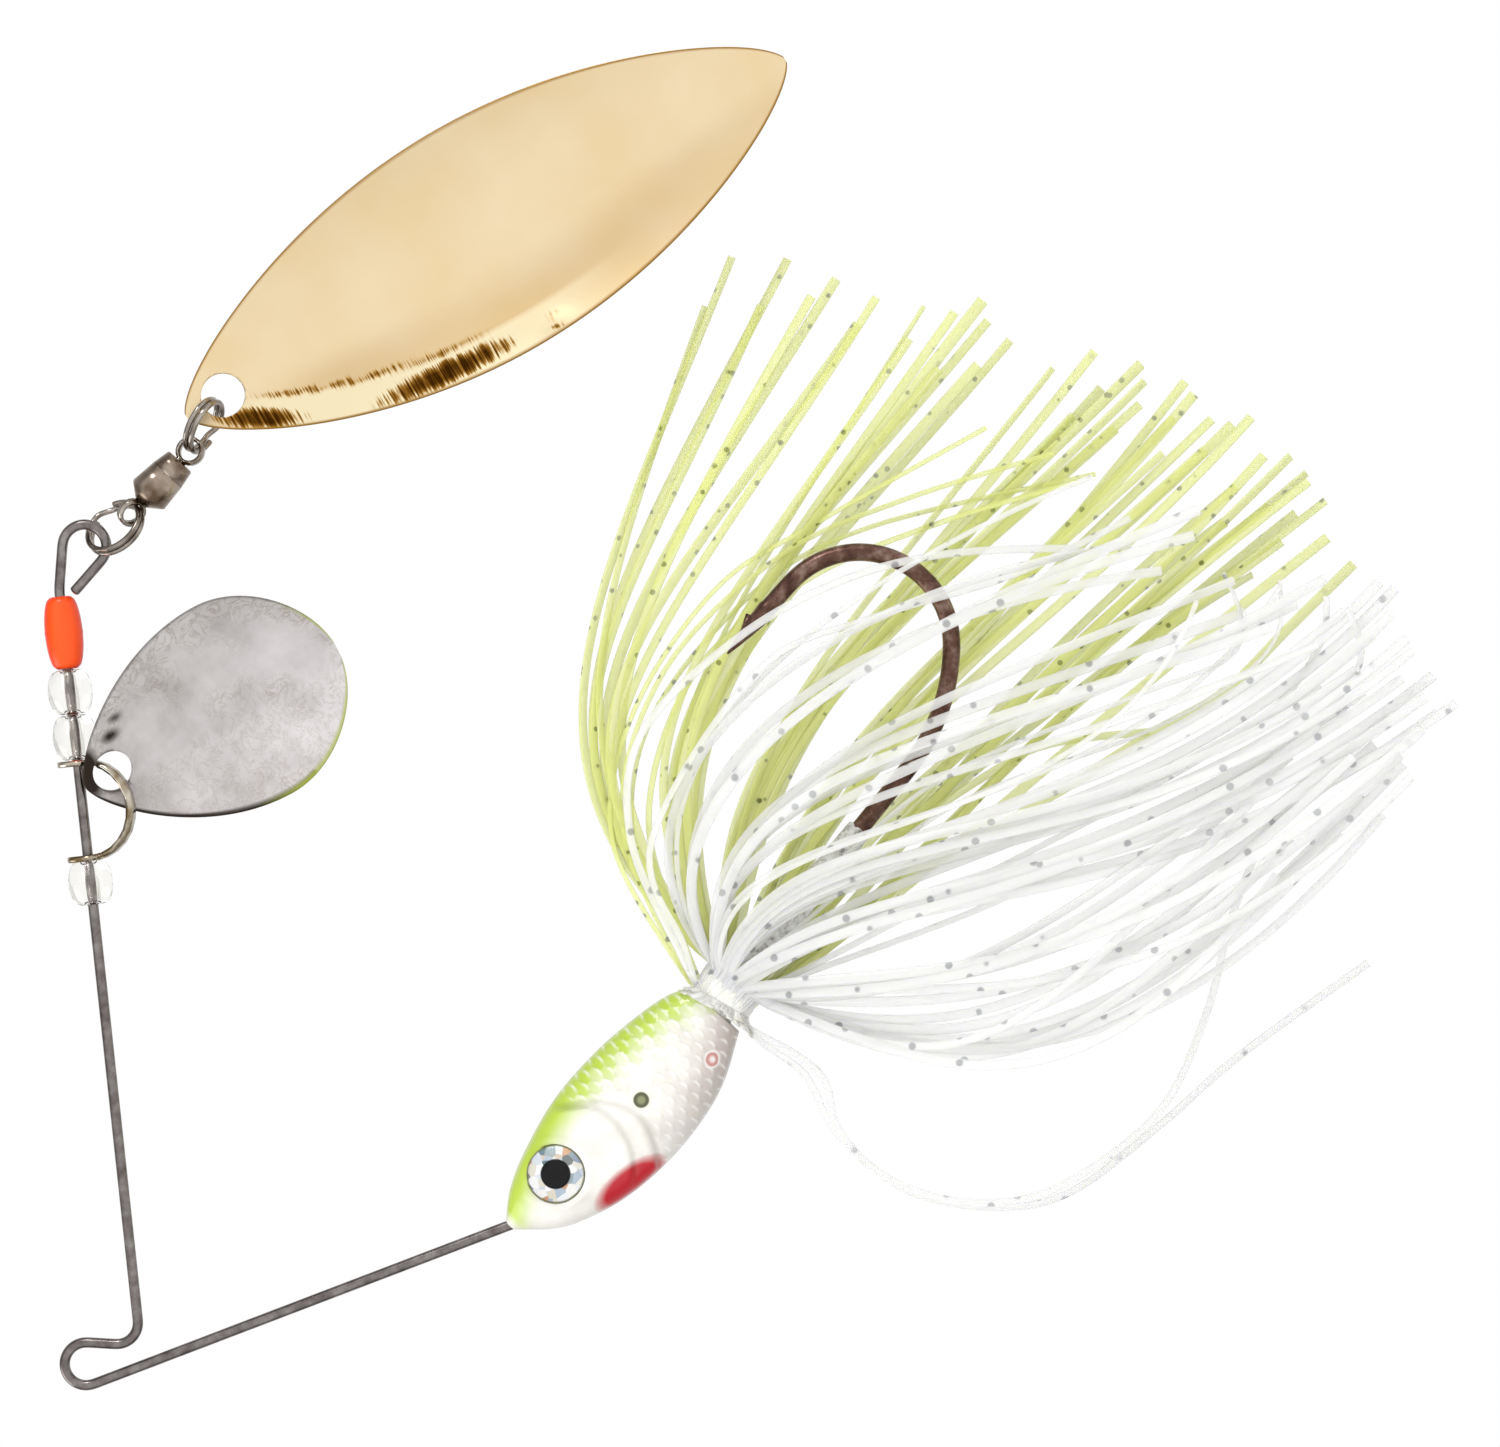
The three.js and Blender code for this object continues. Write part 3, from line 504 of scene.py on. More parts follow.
def gold_plate():
    """Gold-plated brass, polished: a satin dish, a painted highlight on the bright rim band, painted
    shade above its crease, and brown streaks of painted reflection.
    """
    material, tree, place = new_material("polished gold plate")
    # painted dark reflections on the rim, with painted shade along the crease and round the dent
    dark = painted(tree, "dark_reflection_and_shade")
    colour = tones(tree, noise(tree, place, 9, 4), (0.3, "#F6DCAC"), (0.7, "#FAE5BE"))
    # painted shade above the crease, then a painted highlight on the rim band below it
    colour = mix(tree, painted(tree, "shade"), colour, "#C9A468")
    colour = mix(tree, painted(tree, "band"), colour, "#FFF2CC")
    # fine lines across the rim, which break up the painted dark reflections
    along = add(tree, "ShaderNodeMapping", {
        "Vector": add(tree, "ShaderNodeTexCoord").outputs["UV"], "Scale": (330.0, 5.0, 1.0)})
    lines = add(tree, "ShaderNodeTexNoise",
                {"Vector": along.outputs["Vector"], "Scale": 1.0, "Detail": 4}).outputs["Fac"]
    less = maths(tree, "SUBTRACT", maths(tree, "MULTIPLY", dark, 1.3),
                 span(tree, lines, 0.36, 0.64))
    held = maths(tree, "MULTIPLY", span(tree, less, -0.3, 1.0), span(tree, dark, 0.0, 0.3))
    reflection_browns = tones(tree, held, (0.15, "#C89A4A"), (0.55, "#7E5218"), (0.95, "#3E2204"))
    colour = mix(tree, span(tree, held, 0.0, 0.3), colour, reflection_browns)
    colour = mix(tree, painted(tree, "edge"), colour, "#A87A2A")
    return shaded(material, {"Base Color": colour, "Metallic": 1, "Roughness": 0.36})


def head_paint():
    """Pearl lacquer over lead, airbrushed chartreuse on the back and red on the gill, with painted
    shade underneath and in the gill grooves, and painted highlights on the scales.
    """
    material, tree, place = new_material("pearl lacquer")
    colour = tones(tree, noise(tree, place, 2.5, 5), (0.3, "#E3DFD6"), (0.6, "#F4F2EC"))
    # painted shade underneath, the airbrushed back and gill, painted highlights on the scale edges,
    # and painted shade in the gill grooves with a faint dark line round each scale
    for name, code in (("belly_shade", "#BDB2AB"), ("back", "#BCD549"), ("gill", "#BE0820"),
                       ("glint", "#FFFFFF"), ("dark", "#5A5A34")):
        colour = mix(tree, painted(tree, name), colour, code)
    # two marks on the near side: a small olive ring, and a chip with a reddish rim
    marks = (((17.5, -0.95, 3.25), 0.86, ("#8B8F66", "#4F5232", "#E9E7D8")),
             ((24.9, -3.4, 2.5), 0.85, ("#F4F2EE", "#C88F88", "#EDEAE4")))
    for spot, size, (middle, edge, outside) in marks:
        away = add(tree, "ShaderNodeVectorMath", {0: place, 1: to_row(*spot)},
                   operation="DISTANCE")
        out = maths(tree, "DIVIDE", away.outputs["Value"], size * MM)
        tone = tones(tree, out, (0.3, middle), (0.62, edge), (0.8, edge), (0.95, outside))
        colour = mix(tree, span(tree, out, 0.95, 1.25, 1.0, 0.0), colour, tone)
    return shaded(material, {
        "Base Color": colour, "Roughness": 0.3, "Coat Weight": 0.6, "Coat Roughness": 0.08})


def keeper_paint():
    """White lacquer chipped and dusted on the lead keeper, grey where it has worn."""
    material, tree, place = new_material("chipped white lacquer")
    speck = noise(tree, place, 0.55, 6, Roughness=0.7)
    tone = tones(tree, speck, (0.36, "#8F8C88"), (0.46, "#CFCECB"), (0.62, "#EDEDEB"))
    return shaded(material, {
        "Base Color": tone, "Normal": bump(tree, speck, 0.4, 0.08), "Roughness": 0.6})


def silicone(name, colour, fleck, alpha, fleck_pitch):
    """Cast silicone strip with coloured flecks: a clear film that deepens where strips cross."""
    material, tree, place = new_material(name)
    distance, chance = cells(tree, place, fleck_pitch)
    shown = maths(tree, "MULTIPLY", span(tree, distance, 0.16, 0.24, 1.0, 0.0),
                  maths(tree, "GREATER_THAN", chance, 0.5))
    return shaded(material, {
        "Base Color": mix(tree, maths(tree, "MULTIPLY", shown, 0.95), (*colour, 1), fleck),
        "Alpha": alpha, "Roughness": 0.4, "Subsurface Weight": 0.5,
        "Subsurface Radius": (1.6 * MM, 1.6 * MM, 1.2 * MM), "IOR": 1.41})


def moulded_clear(name, tint, rough, ior=1.5):
    """Clear styrene or resin: glass-like, with faint flow marks from its mould."""
    material, tree, place = new_material(name)
    return shaded(material, {
        "Normal": bump(tree, noise(tree, place, 1.4, 2), 0.08, 0.05), "Base Color": linear(tint),
        "Transmission Weight": 1, "Roughness": rough, "IOR": ior})


def orange_styrene():
    """Translucent orange-red styrene: bright orange in the middle, red towards its sides."""
    material, tree, _ = new_material("translucent orange styrene")
    side = add(tree, "ShaderNodeLayerWeight", {"Blend": 0.35}).outputs["Facing"]
    return shaded(material, {
        "Base Color": tones(tree, side, (0.1, "#FF5400"), (0.5, "#F83A00"), (0.95, "#C41602")),
        "Subsurface Weight": 0.25, "Subsurface Radius": (2.0 * MM, 0.4 * MM, 0.1 * MM),
        "Roughness": 0.28})


def eye_foil():
    """Holographic foil: a flat black pupil in a ring of silver flakes that flash colours."""
    material, tree, place = new_material("holographic foil")
    ring = painted(tree, "ring")
    _, chance = cells(tree, place, 0.75)
    flakes = tones(tree, chance, (0.0, "#FFFFFF"), (0.28, "#B4C4D6"), (0.42, "#FFFFFF"),
                   (0.64, "#E8E4D4"), (0.76, "#D8A684"), (0.82, "#5B7F88"), (0.9, "#FFFFFF"),
                   (1.0, "#8E9FB4"))
    pupil = span(tree, ring, 0.49, 0.52)
    colour = mix(tree, pupil, linear("#050505"), flakes)
    colour = mix(tree, span(tree, ring, 0.9, 0.95), colour, "#7C7F3A")
    shine = maths(tree, "MULTIPLY", pupil, 0.45)
    return shaded(material, {
        "Base Color": colour, "Metallic": shine, "Specular IOR Level": shine, "Roughness": 0.35})


def clear_rubber():
    """Translucent white rubber band: matt and slightly cloudy."""
    material, tree, place = new_material("translucent rubber")
    tone = tones(tree, noise(tree, place, 1.2, 3), (0.35, "#E4E2D8"), (0.65, "#F7F7F3"))
    return shaded(material, {
        "Base Color": tone, "Roughness": 0.6, "Subsurface Weight": 0.3,
        "Subsurface Radius": (1.5 * MM, 1.5 * MM, 1.2 * MM)})


def floor_paper():
    """Matt white paper on the studio table."""
    material, tree, place = new_material("matt white paper")
    tone = tones(tree, noise(tree, place, 3, 3), (0.3, "#EFEFEE"), (0.7, "#F7F7F6"))
    return shaded(material, {"Base Color": tone, "Roughness": 0.9})


# ------------------------------------------------------------------ wire, beads and clevis


def smooth_path(points, spacing):
    """Flat points, resampled closely enough for a round wire to look bent, in metres."""
    fine = []
    for a, b in zip(points, points[1:]):
        steps = max(1, math.ceil((b - a).length / spacing))
        fine += [a.lerp(b, i / steps) for i in range(steps)]
    fine.append(points[-1])
    for _ in range(3):
        fine = [fine[0]] + [
            (a + b * 2 + c) / 4 for a, b, c in zip(fine, fine[1:], fine[2:])] + [fine[-1]]
    return [lay(p.x, p.y) for p in fine]


def on_arm(down):
    """A point on the blade arm, that far below its top bend."""
    at = ARM_TOP - polar(down, ARM_ANGLE)
    return lay(at.x, at.y)


def bead(name, down, length, radius, end_radius, material):
    """A moulded bead: a barrel with a bore, small rounded rims and a fine mould seam."""
    half = length / 2
    outer = []
    for i in range(25):
        y = -half + length * i / 24
        swell = math.sqrt(max(0.0, 1 - (y / half) ** 2))
        seam = 0.03 * math.exp(-((y / 0.12) ** 2))
        outer.append((end_radius + (radius - end_radius) * swell + seam, y))
    rim = [(BEAD_BORE, -half + 0.12), (BEAD_BORE + 0.1, -half), (end_radius - 0.12, -half - 0.03)]
    profile = rim + outer + [(r, -y) for r, y in reversed(rim)]
    verts, faces = lathe(profile, on_arm(down), direction(ARM_ANGLE), 64)
    return shell(name, verts, faces, material)


# ------------------------------------------------------------------ blades


def blade_width(s, length, half_width, widest, near, far):
    if s < widest:
        return half_width * math.sin(math.pi / 2 * s / widest) ** near
    return half_width * math.cos(math.pi / 2 * (s - widest) / (length - widest)) ** far


def blade(name, matrix, size, material, paint, relief):
    """A stamped blade: dished sheet with a rounded edge, and its ring hole punched through.

    relief(x, y, width) raises the sheet, and paint(x, y, width) gives named values."""
    length, half_width, widest, near, far, dish, hole, hole_at = size
    along, across = 150, 40
    margin = length / 600

    def spot(i, k):
        s = margin + (length - 2 * margin) * (1 - math.cos(math.pi * i / along)) / 2
        width = blade_width(s, length, half_width, widest, near, far)
        turn = 2 * math.pi * k / (2 * across)
        q = math.cos(turn)
        q = math.copysign(1 - (1 - abs(q)) ** 0.9, q)
        y = width * q
        middle = dish * (y * y - width * width) / half_width ** 2
        middle += relief(s - hole_at, y, width)
        lip = math.copysign(min(1.0, abs(math.sin(turn)) * width / 0.5) ** 0.5, math.sin(turn))
        return Vector((s - hole_at, y, middle + BLADE_HALF_THICKNESS * lip))

    verts = [spot(i, k) for i in range(along + 1) for k in range(2 * across)]
    sheet = shell(name, [v * MM for v in verts], capped_faces(along + 1, 2 * across), material)
    punch = [Vector((math.cos(2 * math.pi * k / 64) * hole,
                     math.sin(2 * math.pi * k / 64) * hole, z)) * MM
             for z in (-6, 3) for k in range(64)]
    cut(sheet, shell("punch", punch, capped_faces(2, 64), material))
    mesh = sheet.data
    uv = mesh.uv_layers.get("surface") or mesh.uv_layers.new(name="surface")
    spots = [v.co / MM for v in mesh.vertices]
    for loop in mesh.loops:
        at = spots[loop.vertex_index]
        uv.data[loop.index].uv = ((at.x + hole_at) / length, at.y / half_width / 2 + 0.5)
    values = {}
    for at in spots:
        s = min(length, max(0.0, at.x + hole_at))
        width = blade_width(s, length, half_width, widest, near, far)
        middle = dish * (at.y ** 2 - width ** 2) / half_width ** 2 + relief(at.x, at.y, width)
        for key, value in paint(at.x, at.y, width).items():
            # the back of the sheet keeps its edge and its veins, but not the front's marks, painted
            # light and shade among them
            kept = at.z > middle or key in ("edge", "vein")
            values.setdefault(key, []).append(value if kept else 0.0)
    set_values(mesh, values)
    mesh.transform(matrix)
    mesh.polygons.foreach_set("use_smooth", [True] * len(mesh.polygons))
    for edge in mesh.edges:
        edge.use_edge_sharp = False
    return sheet


def drawing_matrix(u, v, w, turn, pitch=0.0, roll=0.0):
    """The matrix that places a shape on the flat lure, at millimetres, and hangs it."""
    spin = Matrix.Rotation(math.radians(turn), 4, "Z") @ Matrix.Rotation(
        math.radians(pitch), 4, "Y") @ Matrix.Rotation(math.radians(roll), 4, "X")
    return FLAT_TO_HUNG @ Matrix.Translation(Vector((u, v, w)) * MM) @ spin


def ellipse(x, y, cx, cy, rx, ry, turn=0.0):
    """1 in the middle of an ellipse, 0 at and past its rim."""
    dx, dy = x - cx, y - cy
    a = math.radians(turn)
    along = (dx * math.cos(a) + dy * math.sin(a)) / rx
    aside = (-dx * math.sin(a) + dy * math.cos(a)) / ry
    return max(0.0, 1 - math.hypot(along, aside))


def gold_relief(x, y, width):
    """The lower rim is rolled slightly flatter than the dish, with a crease where it starts."""
    fade = smoothstep(0, 6, x) * (1 - smoothstep(20, 40, x))
    over = max(0.0, 3.4 - (width + y))
    dent = 0.12 * ellipse(x, y, 31.0, -11.0 + 0.8, 2.2, 1.6) if y < 0 else 0
    return -0.16 * fade * over + dent


def gold_paint(x, y, width):
    rim = width - abs(y)
    # a painted highlight on the rim band below the crease
    band = 1 - smoothstep(3.1, 3.5, width + y)
    band *= smoothstep(-1, 4, x) * (1 - smoothstep(24, 42, x))
    # dark reflections painted on the rim, then painted shade along the crease line and round the
    # dent
    dark_reflection_and_shade = max(ellipse(x, y, 2.0, -3.7, 5.2, 1.25, -30), ellipse(x, y, 19.5, -9.0, 8.5, 1.4, -6))
    line = math.exp(-((width + y - 3.6) / 0.35) ** 2) if y < 0 else 0.0
    dark_reflection_and_shade = max(dark_reflection_and_shade, 0.32 * line * smoothstep(1, 5, x) * (1 - smoothstep(20, 27, x)))
    dent = math.hypot(x - 31.0, y + 10.1)
    dark_reflection_and_shade = max(dark_reflection_and_shade, 0.3 * math.exp(-((dent - 0.7) / 0.18) ** 2))
    # painted shade above the crease, strongest just above it
    crease_shade = (1 - smoothstep(3.6, 9.5, width + y)) * smoothstep(0, 3.5, -y)
    return {
        "band": band * 0.8,
        "shade": crease_shade * (1 - band) * 0.5 * smoothstep(0, 12, x) * (
            1 - 0.6 * smoothstep(30, 56, x)) if y < 0 else 0.0,
        "dark_reflection_and_shade": min(1.0, 1.6 * dark_reflection_and_shade),
        "edge": 1 - smoothstep(0.1, 0.34, rim),
    }


def nickel_paint(x, y, width):
    rim = width - abs(y)
    hole = abs(math.hypot(x, y) - NICKEL_HOLE)
    edge = 0.6 * (1 - smoothstep(0.05, 0.25, rim))
    # painted shade on the sheet's lower rim, its edge in shadow
    if y < 0 and x < 17:
        edge = 1.0 - smoothstep(0.3, 0.6, rim)
    # dark patches by the hole, and a dark ring round part of the hole
    dark = max(1.6 * ellipse(x, y, -2.1, 1.2, 1.6, 3.6, -10), ellipse(x, y, 1.4, 3.2, 1.3, 0.8),
               0.8 * ellipse(x, y, 2.6, 4.6, 1.0, 0.6))
    around = 0.7 * (1 - smoothstep(0.0, 0.35, hole)) if x < 1 else 0
    far = smoothstep(10, 16, x) * (1 - smoothstep(3, 8, y))
    return {
        "edge": max(edge, min(1.0, 1.4 * dark), around),
        "green": far * (1 - smoothstep(0.2, 0.75, rim)) * 0.8,
        "vein": 0.75 * (1 - smoothstep(0.4, 4.5, rim)) if y > -2 else 0.35,
    }


# ------------------------------------------------------------------ head, eyes and hook

HEAD_BACK = [(0, .45), (.094, 2.3), (.225, 3.75), (.42, 5), (.63, 5.15), (.8, 4.6), (.92, 3.85),
             (1, 2.75)]
HEAD_BELLY = [(0, -.55), (.083, -3), (.16, -4.5), (.32, -6.15), (.51, -6.85), (.69, -6.6),
              (.84, -5.6), (1, -3.4)]
HEAD_FULLNESS = [(0, .5), (.12, 2.35), (.3, 3.2), (.5, 3.4), (.75, 3.1), (1, 2.1)]
EYE_AT = (6.8, 0.2)
SCALE_PITCH = 1.5


def curve_through(points, x):
    """The smooth curve through a few points, in order of x."""
    count = len(points)
    i = 0
    while i < count - 2 and x > points[i + 1][0]:
        i += 1
    (x0, y0), (x1, y1) = points[i], points[i + 1]

    def slope(k):
        lo, hi = max(0, k - 1), min(count - 1, k + 1)
        return (points[hi][1] - points[lo][1]) / (points[hi][0] - points[lo][0])

    t = min(1.0, max(0.0, (x - x0) / (x1 - x0)))
    m0, m1 = slope(i) * (x1 - x0), slope(i + 1) * (x1 - x0)
    return ((2 * t ** 3 - 3 * t ** 2 + 1) * y0 + (t ** 3 - 2 * t ** 2 + t) * m0
            + (3 * t ** 2 - 2 * t ** 3) * y1 + (t ** 3 - t ** 2) * m1)


def fish_scale(x, y):
    """The scale over a point: its middle, and how far out in it the point is, from 0 to 1."""
    step = SCALE_PITCH * 0.62
    radius = SCALE_PITCH * 0.68
    first = math.floor((x - radius) / step)
    for row in range(first, first + 4):
        cx = row * step
        cy = (round(y / SCALE_PITCH - (row % 2) / 2) + (row % 2) / 2) * SCALE_PITCH
        far = math.hypot(x - cx, y - cy) / radius
        if far <= 1 and x > cx - 0.3 * radius:
            return cx, cy, far
    return x, y, 0.5


def gill_arcs(x, y):
    """Distance past each of the two gill arcs behind the eye, and how fully they show there."""
    from_eye = math.hypot(x - EYE_AT[0], y - EYE_AT[1])
    angle = math.degrees(math.atan2(y - EYE_AT[1], x - EYE_AT[0]))
    shown = smoothstep(-62, -38, angle) * (1 - smoothstep(34, 52, angle))
    inner = from_eye - 7.3 + 1.3 * smoothstep(0, 40, angle)
    outer = from_eye - 9.6 + 3.3 * smoothstep(-22, 40, angle)
    return inner, outer, shown


def head_surface(x, y):
    """How far the lacquered surface stands out at a point, from its scales and gill arcs."""
    out = 0.0
    _, _, far = fish_scale(x, y)
    inner, outer, shown = gill_arcs(x, y)
    scaled = smoothstep(0.0, 1.2, outer) * smoothstep(11.5, 13.5, x)
    scaled *= (1 - smoothstep(26, 27.5, x)) * smoothstep(-6.4, -4.6, y)
    out += scaled * (0.085 * far ** 2 - 0.03)
    for past, depth in ((inner, 0.2), (outer, 0.26)):
        out -= shown * depth * math.exp(-((past - 0.3) / 0.3) ** 2)
        out += shown * depth * 0.6 * math.exp(-((past + 0.45) / 0.5) ** 2)
    from_eye = math.hypot(x - EYE_AT[0], y - EYE_AT[1])
    out += 0.1 * math.exp(-((from_eye - 3.3) / 0.35) ** 2)
    return out


def head_paint_values(x, y):
    """How strongly each colour of the head shows at a point, painted shade and highlights among
    them.
    """
    s = x / HEAD_LENGTH
    high = curve_through(HEAD_BACK, s)
    low = curve_through(HEAD_BELLY, s)
    cx, cy, far = fish_scale(x, y)
    inner, outer, shown = gill_arcs(x, y)
    scaled = smoothstep(0.0, 1.2, outer) * smoothstep(11.5, 13.5, x)
    at = y + 0.55 * (cy - y) * scaled
    reach = 2.3 + 0.5 * math.sin(cx * 2.3) * scaled
    back = 1 - smoothstep(reach - 1.6, reach + 1.5, high - at)
    back *= smoothstep(0.0, 1.2, x)
    back *= 1 - 0.25 * scaled * smoothstep(0.8, 1.0, far)
    gill = 3.0 * ellipse(x, y, 10.9, -5.7, 4.3, 1.85, -9)
    gill = min(1.0, gill) ** 0.7
    # painted shade on the underside, stronger towards the back of the head
    belly_shade = smoothstep(0.35, 0.95, s) * (1 - smoothstep(low + 0.8, low + 5.2, y))
    # painted highlights on the edges of the scales
    glint = scaled * smoothstep(0.62, 0.85, far) * (1 - smoothstep(0.9, 1.0, far))
    glint *= 0.55 * smoothstep(0.2, 0.8, 1 - abs(y - cy) / SCALE_PITCH * 2)
    # painted shade in the gill grooves; a faint dark line round each scale joins it below
    groove_shade = 0.0
    for past in (inner, outer):
        groove_shade = max(groove_shade, 0.16 * shown * math.exp(-((past - 0.3) / 0.3) ** 2))
    return {
        "back": back,
        "gill": gill,
        "belly_shade": belly_shade,
        "glint": glint,
        "dark": min(1.0, max(groove_shade, scaled * 0.1 * smoothstep(0.93, 1.0, far))),
    }


def from_row(point):
    """Where a point of the hanging lure lies on the head's side, in the head's own axes."""
    flat = Vector((point.dot(FLAT_U), point.dot(FLAT_V))) / MM - NOSE
    local = turned(flat, -HEAD_ANGLE)
    return local.x, local.y


def to_row(x, y, z):
    """A point in the head's own axes, in millimetres, on the hanging lure."""
    flat = NOSE + turned((x, y), HEAD_ANGLE)
    return lay(flat.x, flat.y, z)


def head_casting(material):
    """The fish head: a loft with scales, gill arcs and a seam, and its two eye sockets."""
    along, around = 230, 168
    verts = []
    for i in range(along + 1):
        s = i / along
        s = s * 0.86 + 0.14 * (1 - math.cos(math.pi * s)) / 2
        high, low = curve_through(HEAD_BACK, s), curve_through(HEAD_BELLY, s)
        full = curve_through(HEAD_FULLNESS, s)
        for k in range(around):
            angle = 2 * math.pi * k / around
            c, n = math.cos(angle), math.sin(angle)
            c = math.copysign(abs(c) ** 0.9, c)
            n = math.copysign(abs(n) ** 0.9, n)
            x, y, z = s * HEAD_LENGTH, (high + low) / 2 + (high - low) / 2 * c, full * n
            normal = Vector((c / max(0.4, (high - low) / 2), n / max(0.4, full)))
            normal.normalize()
            flat_side = smoothstep(0.25, 0.75, abs(normal.y))
            lift = head_surface(x, y) * flat_side * smoothstep(0.03, 0.1, s)
            lift += 0.07 * math.exp(-((z / 0.14) ** 2))
            verts.append(to_row(x, y + normal.x * lift, z + normal.y * lift))
    head = shell("head_casting", verts, capped_faces(along + 1, around), material)
    for side in (1, -1):
        steps = 72
        drill = [to_row(EYE_AT[0] + SOCKET_RADIUS * math.cos(2 * math.pi * k / steps),
                        EYE_AT[1] + SOCKET_RADIUS * math.sin(2 * math.pi * k / steps),
                        side * z)
                 for z in (2.2, 6.0) for k in range(steps)]
        cut(head, shell("drill", drill, capped_faces(2, steps), material))
    mesh = head.data
    values = {}
    for vertex in mesh.vertices:
        for key, value in head_paint_values(*from_row(vertex.co)).items():
            values.setdefault(key, []).append(value)
    set_values(mesh, values)
    mesh.polygons.foreach_set("use_smooth", [True] * len(mesh.polygons))
    return head


def along_shank(distance):
    """The place on the shank that far from the middle of the collar, in the flat."""
    return COLLAR + polar(distance, SHANK_ANGLE)


def keeper(material):
    """The lead sleeve on the shank behind the head: rough, tapered and chipped at its end."""
    stations = [(-3.6, 2.0), (-1.5, 2.05), (1.5, 2.05), (2.0, 1.75), (2.6, 1.64), (3.2, 1.68),
                (3.8, 1.62)]
    stations += [(4 + 16 * i / 60, 1.62 - 0.42 * i / 60) for i in range(61)]
    stations += [(20.15, 1.12), (20.2, 0.9)]
    rand = random.Random(7)
    lumps = [(rand.uniform(2, 20), rand.uniform(-3.1, 3.1), rand.uniform(0.3, 0.9),
              rand.uniform(-0.13, 0.1)) for _ in range(90)]
    side = direction(SHANK_ANGLE).cross(FLAT_W)
    verts = []
    for distance, radius in stations:
        middle = lay(*along_shank(distance))
        for k in range(48):
            angle = 2 * math.pi * k / 48
            out = 0.0
            for place, turn, size, height in lumps:
                across = (angle - turn + math.pi) % (2 * math.pi) - math.pi
                gap = math.hypot(place - distance, across * 1.5) / size
                if gap < 1:
                    out += height * (1 - gap * gap) ** 2
            chip = 0.35 * smoothstep(18.8, 20, distance) * max(0.0, math.sin(2.5 * angle))
            r = (radius + out - chip) * MM
            verts.append(middle + FLAT_W * (r * math.cos(angle)) + side * (r * math.sin(angle)))
    return shell("lead_keeper", verts, capped_faces(len(stations), 48), material)


def head_lathe(name, profile, side, material, value=None):
    """A turned shape on the head's eye axis: radius and distance from the middle plane."""
    steps = 64
    verts = [to_row(EYE_AT[0] + r * math.cos(2 * math.pi * k / steps),
                    EYE_AT[1] + r * math.sin(2 * math.pi * k / steps), side * z)
             for r, z in profile for k in range(steps)]
    values = {value: [r / FOIL_RADIUS for r, z in profile for k in range(steps)]} if value else None
    return shell(name, verts, capped_faces(len(profile), steps), material, values)


def hook(material):
    """The hook: round wire with a long bend, a needle point and a cut barb."""
    path = BentWire(HOOK_EYE + polar(HOOK_START, SHANK_ANGLE), SHANK_ANGLE)
    path.go(SHANK_LENGTH - HOOK_START, 20).turn_to(SHANK_BEND_RADIUS, 90)
    path.turn_to(HOOK_BEND_RADIUS, HOOK_POINT_ANGLE).go(HOOK_POINT_LEAD, 3)
    points = smooth_path(path.points, 0.5)
    end = path.at.copy()
    taper = 26
    for i in range(1, taper + 1):
        at = end + polar(HOOK_POINT_TAPER * i / taper, HOOK_POINT_ANGLE)
        points.append(lay(at.x, at.y))
    count = len(points)
    radii = [HOOK_RADIUS] * (count - taper)
    radii += [HOOK_RADIUS * (1 - (i / taper) ** 1.6) + 0.09 for i in range(1, taper + 1)]
    verts, faces = tube(points, [r * MM for r in radii], 28)
    inward = polar(1, HOOK_POINT_ANGLE - 90)
    start = end + polar(1.6, HOOK_POINT_ANGLE)
    spur = [(0.0, 0.35), (2.6, 0.25), (0.35, 1.25)]
    for half in (-0.22, 0.22):
        for along, out in spur:
            at = start + polar(along, HOOK_POINT_ANGLE) + inward * out
            verts.append(lay(at.x, at.y, half * (0.4 if out > 1 else 1)))
    base = len(verts) - 6
    faces += [(base, base + 1, base + 2), (base + 5, base + 4, base + 3)]
    faces += [(base + a, base + 3 + a, base + 3 + b, base + b) for a, b in ((0, 1), (1, 2), (2, 0))]
    return shell("bronzed_hook", verts, faces, material)


# ------------------------------------------------------------------ rings


def split_ring(name, centre, radius, angle, tilt, start, wire, material):
    """Two turns of hard wire lying on each other, with one crossover and ground ends."""
    gap_angle = 25.0
    rise = wire + 0.03
    points = []
    matrix = Matrix.Rotation(math.radians(angle), 4, "Z") @ Matrix.Rotation(
        math.radians(tilt), 4, "X")
    for i in range(181):
        sweep = gap_angle + (720 - 2 * gap_angle) * i / 180
        lift = smoothstep(340, 380, sweep)
        ring = polar(radius, start + sweep)
        at = matrix @ Vector((ring.x, ring.y, rise * (2 * lift - 1)))
        points.append(FLAT_TO_HUNG @ ((Vector((centre[0], centre[1], 0)) + at) * MM))
    verts, faces = tube(points, wire * MM, 14)
    return shell(name, verts, faces, material)


# ------------------------------------------------------------------ skirt

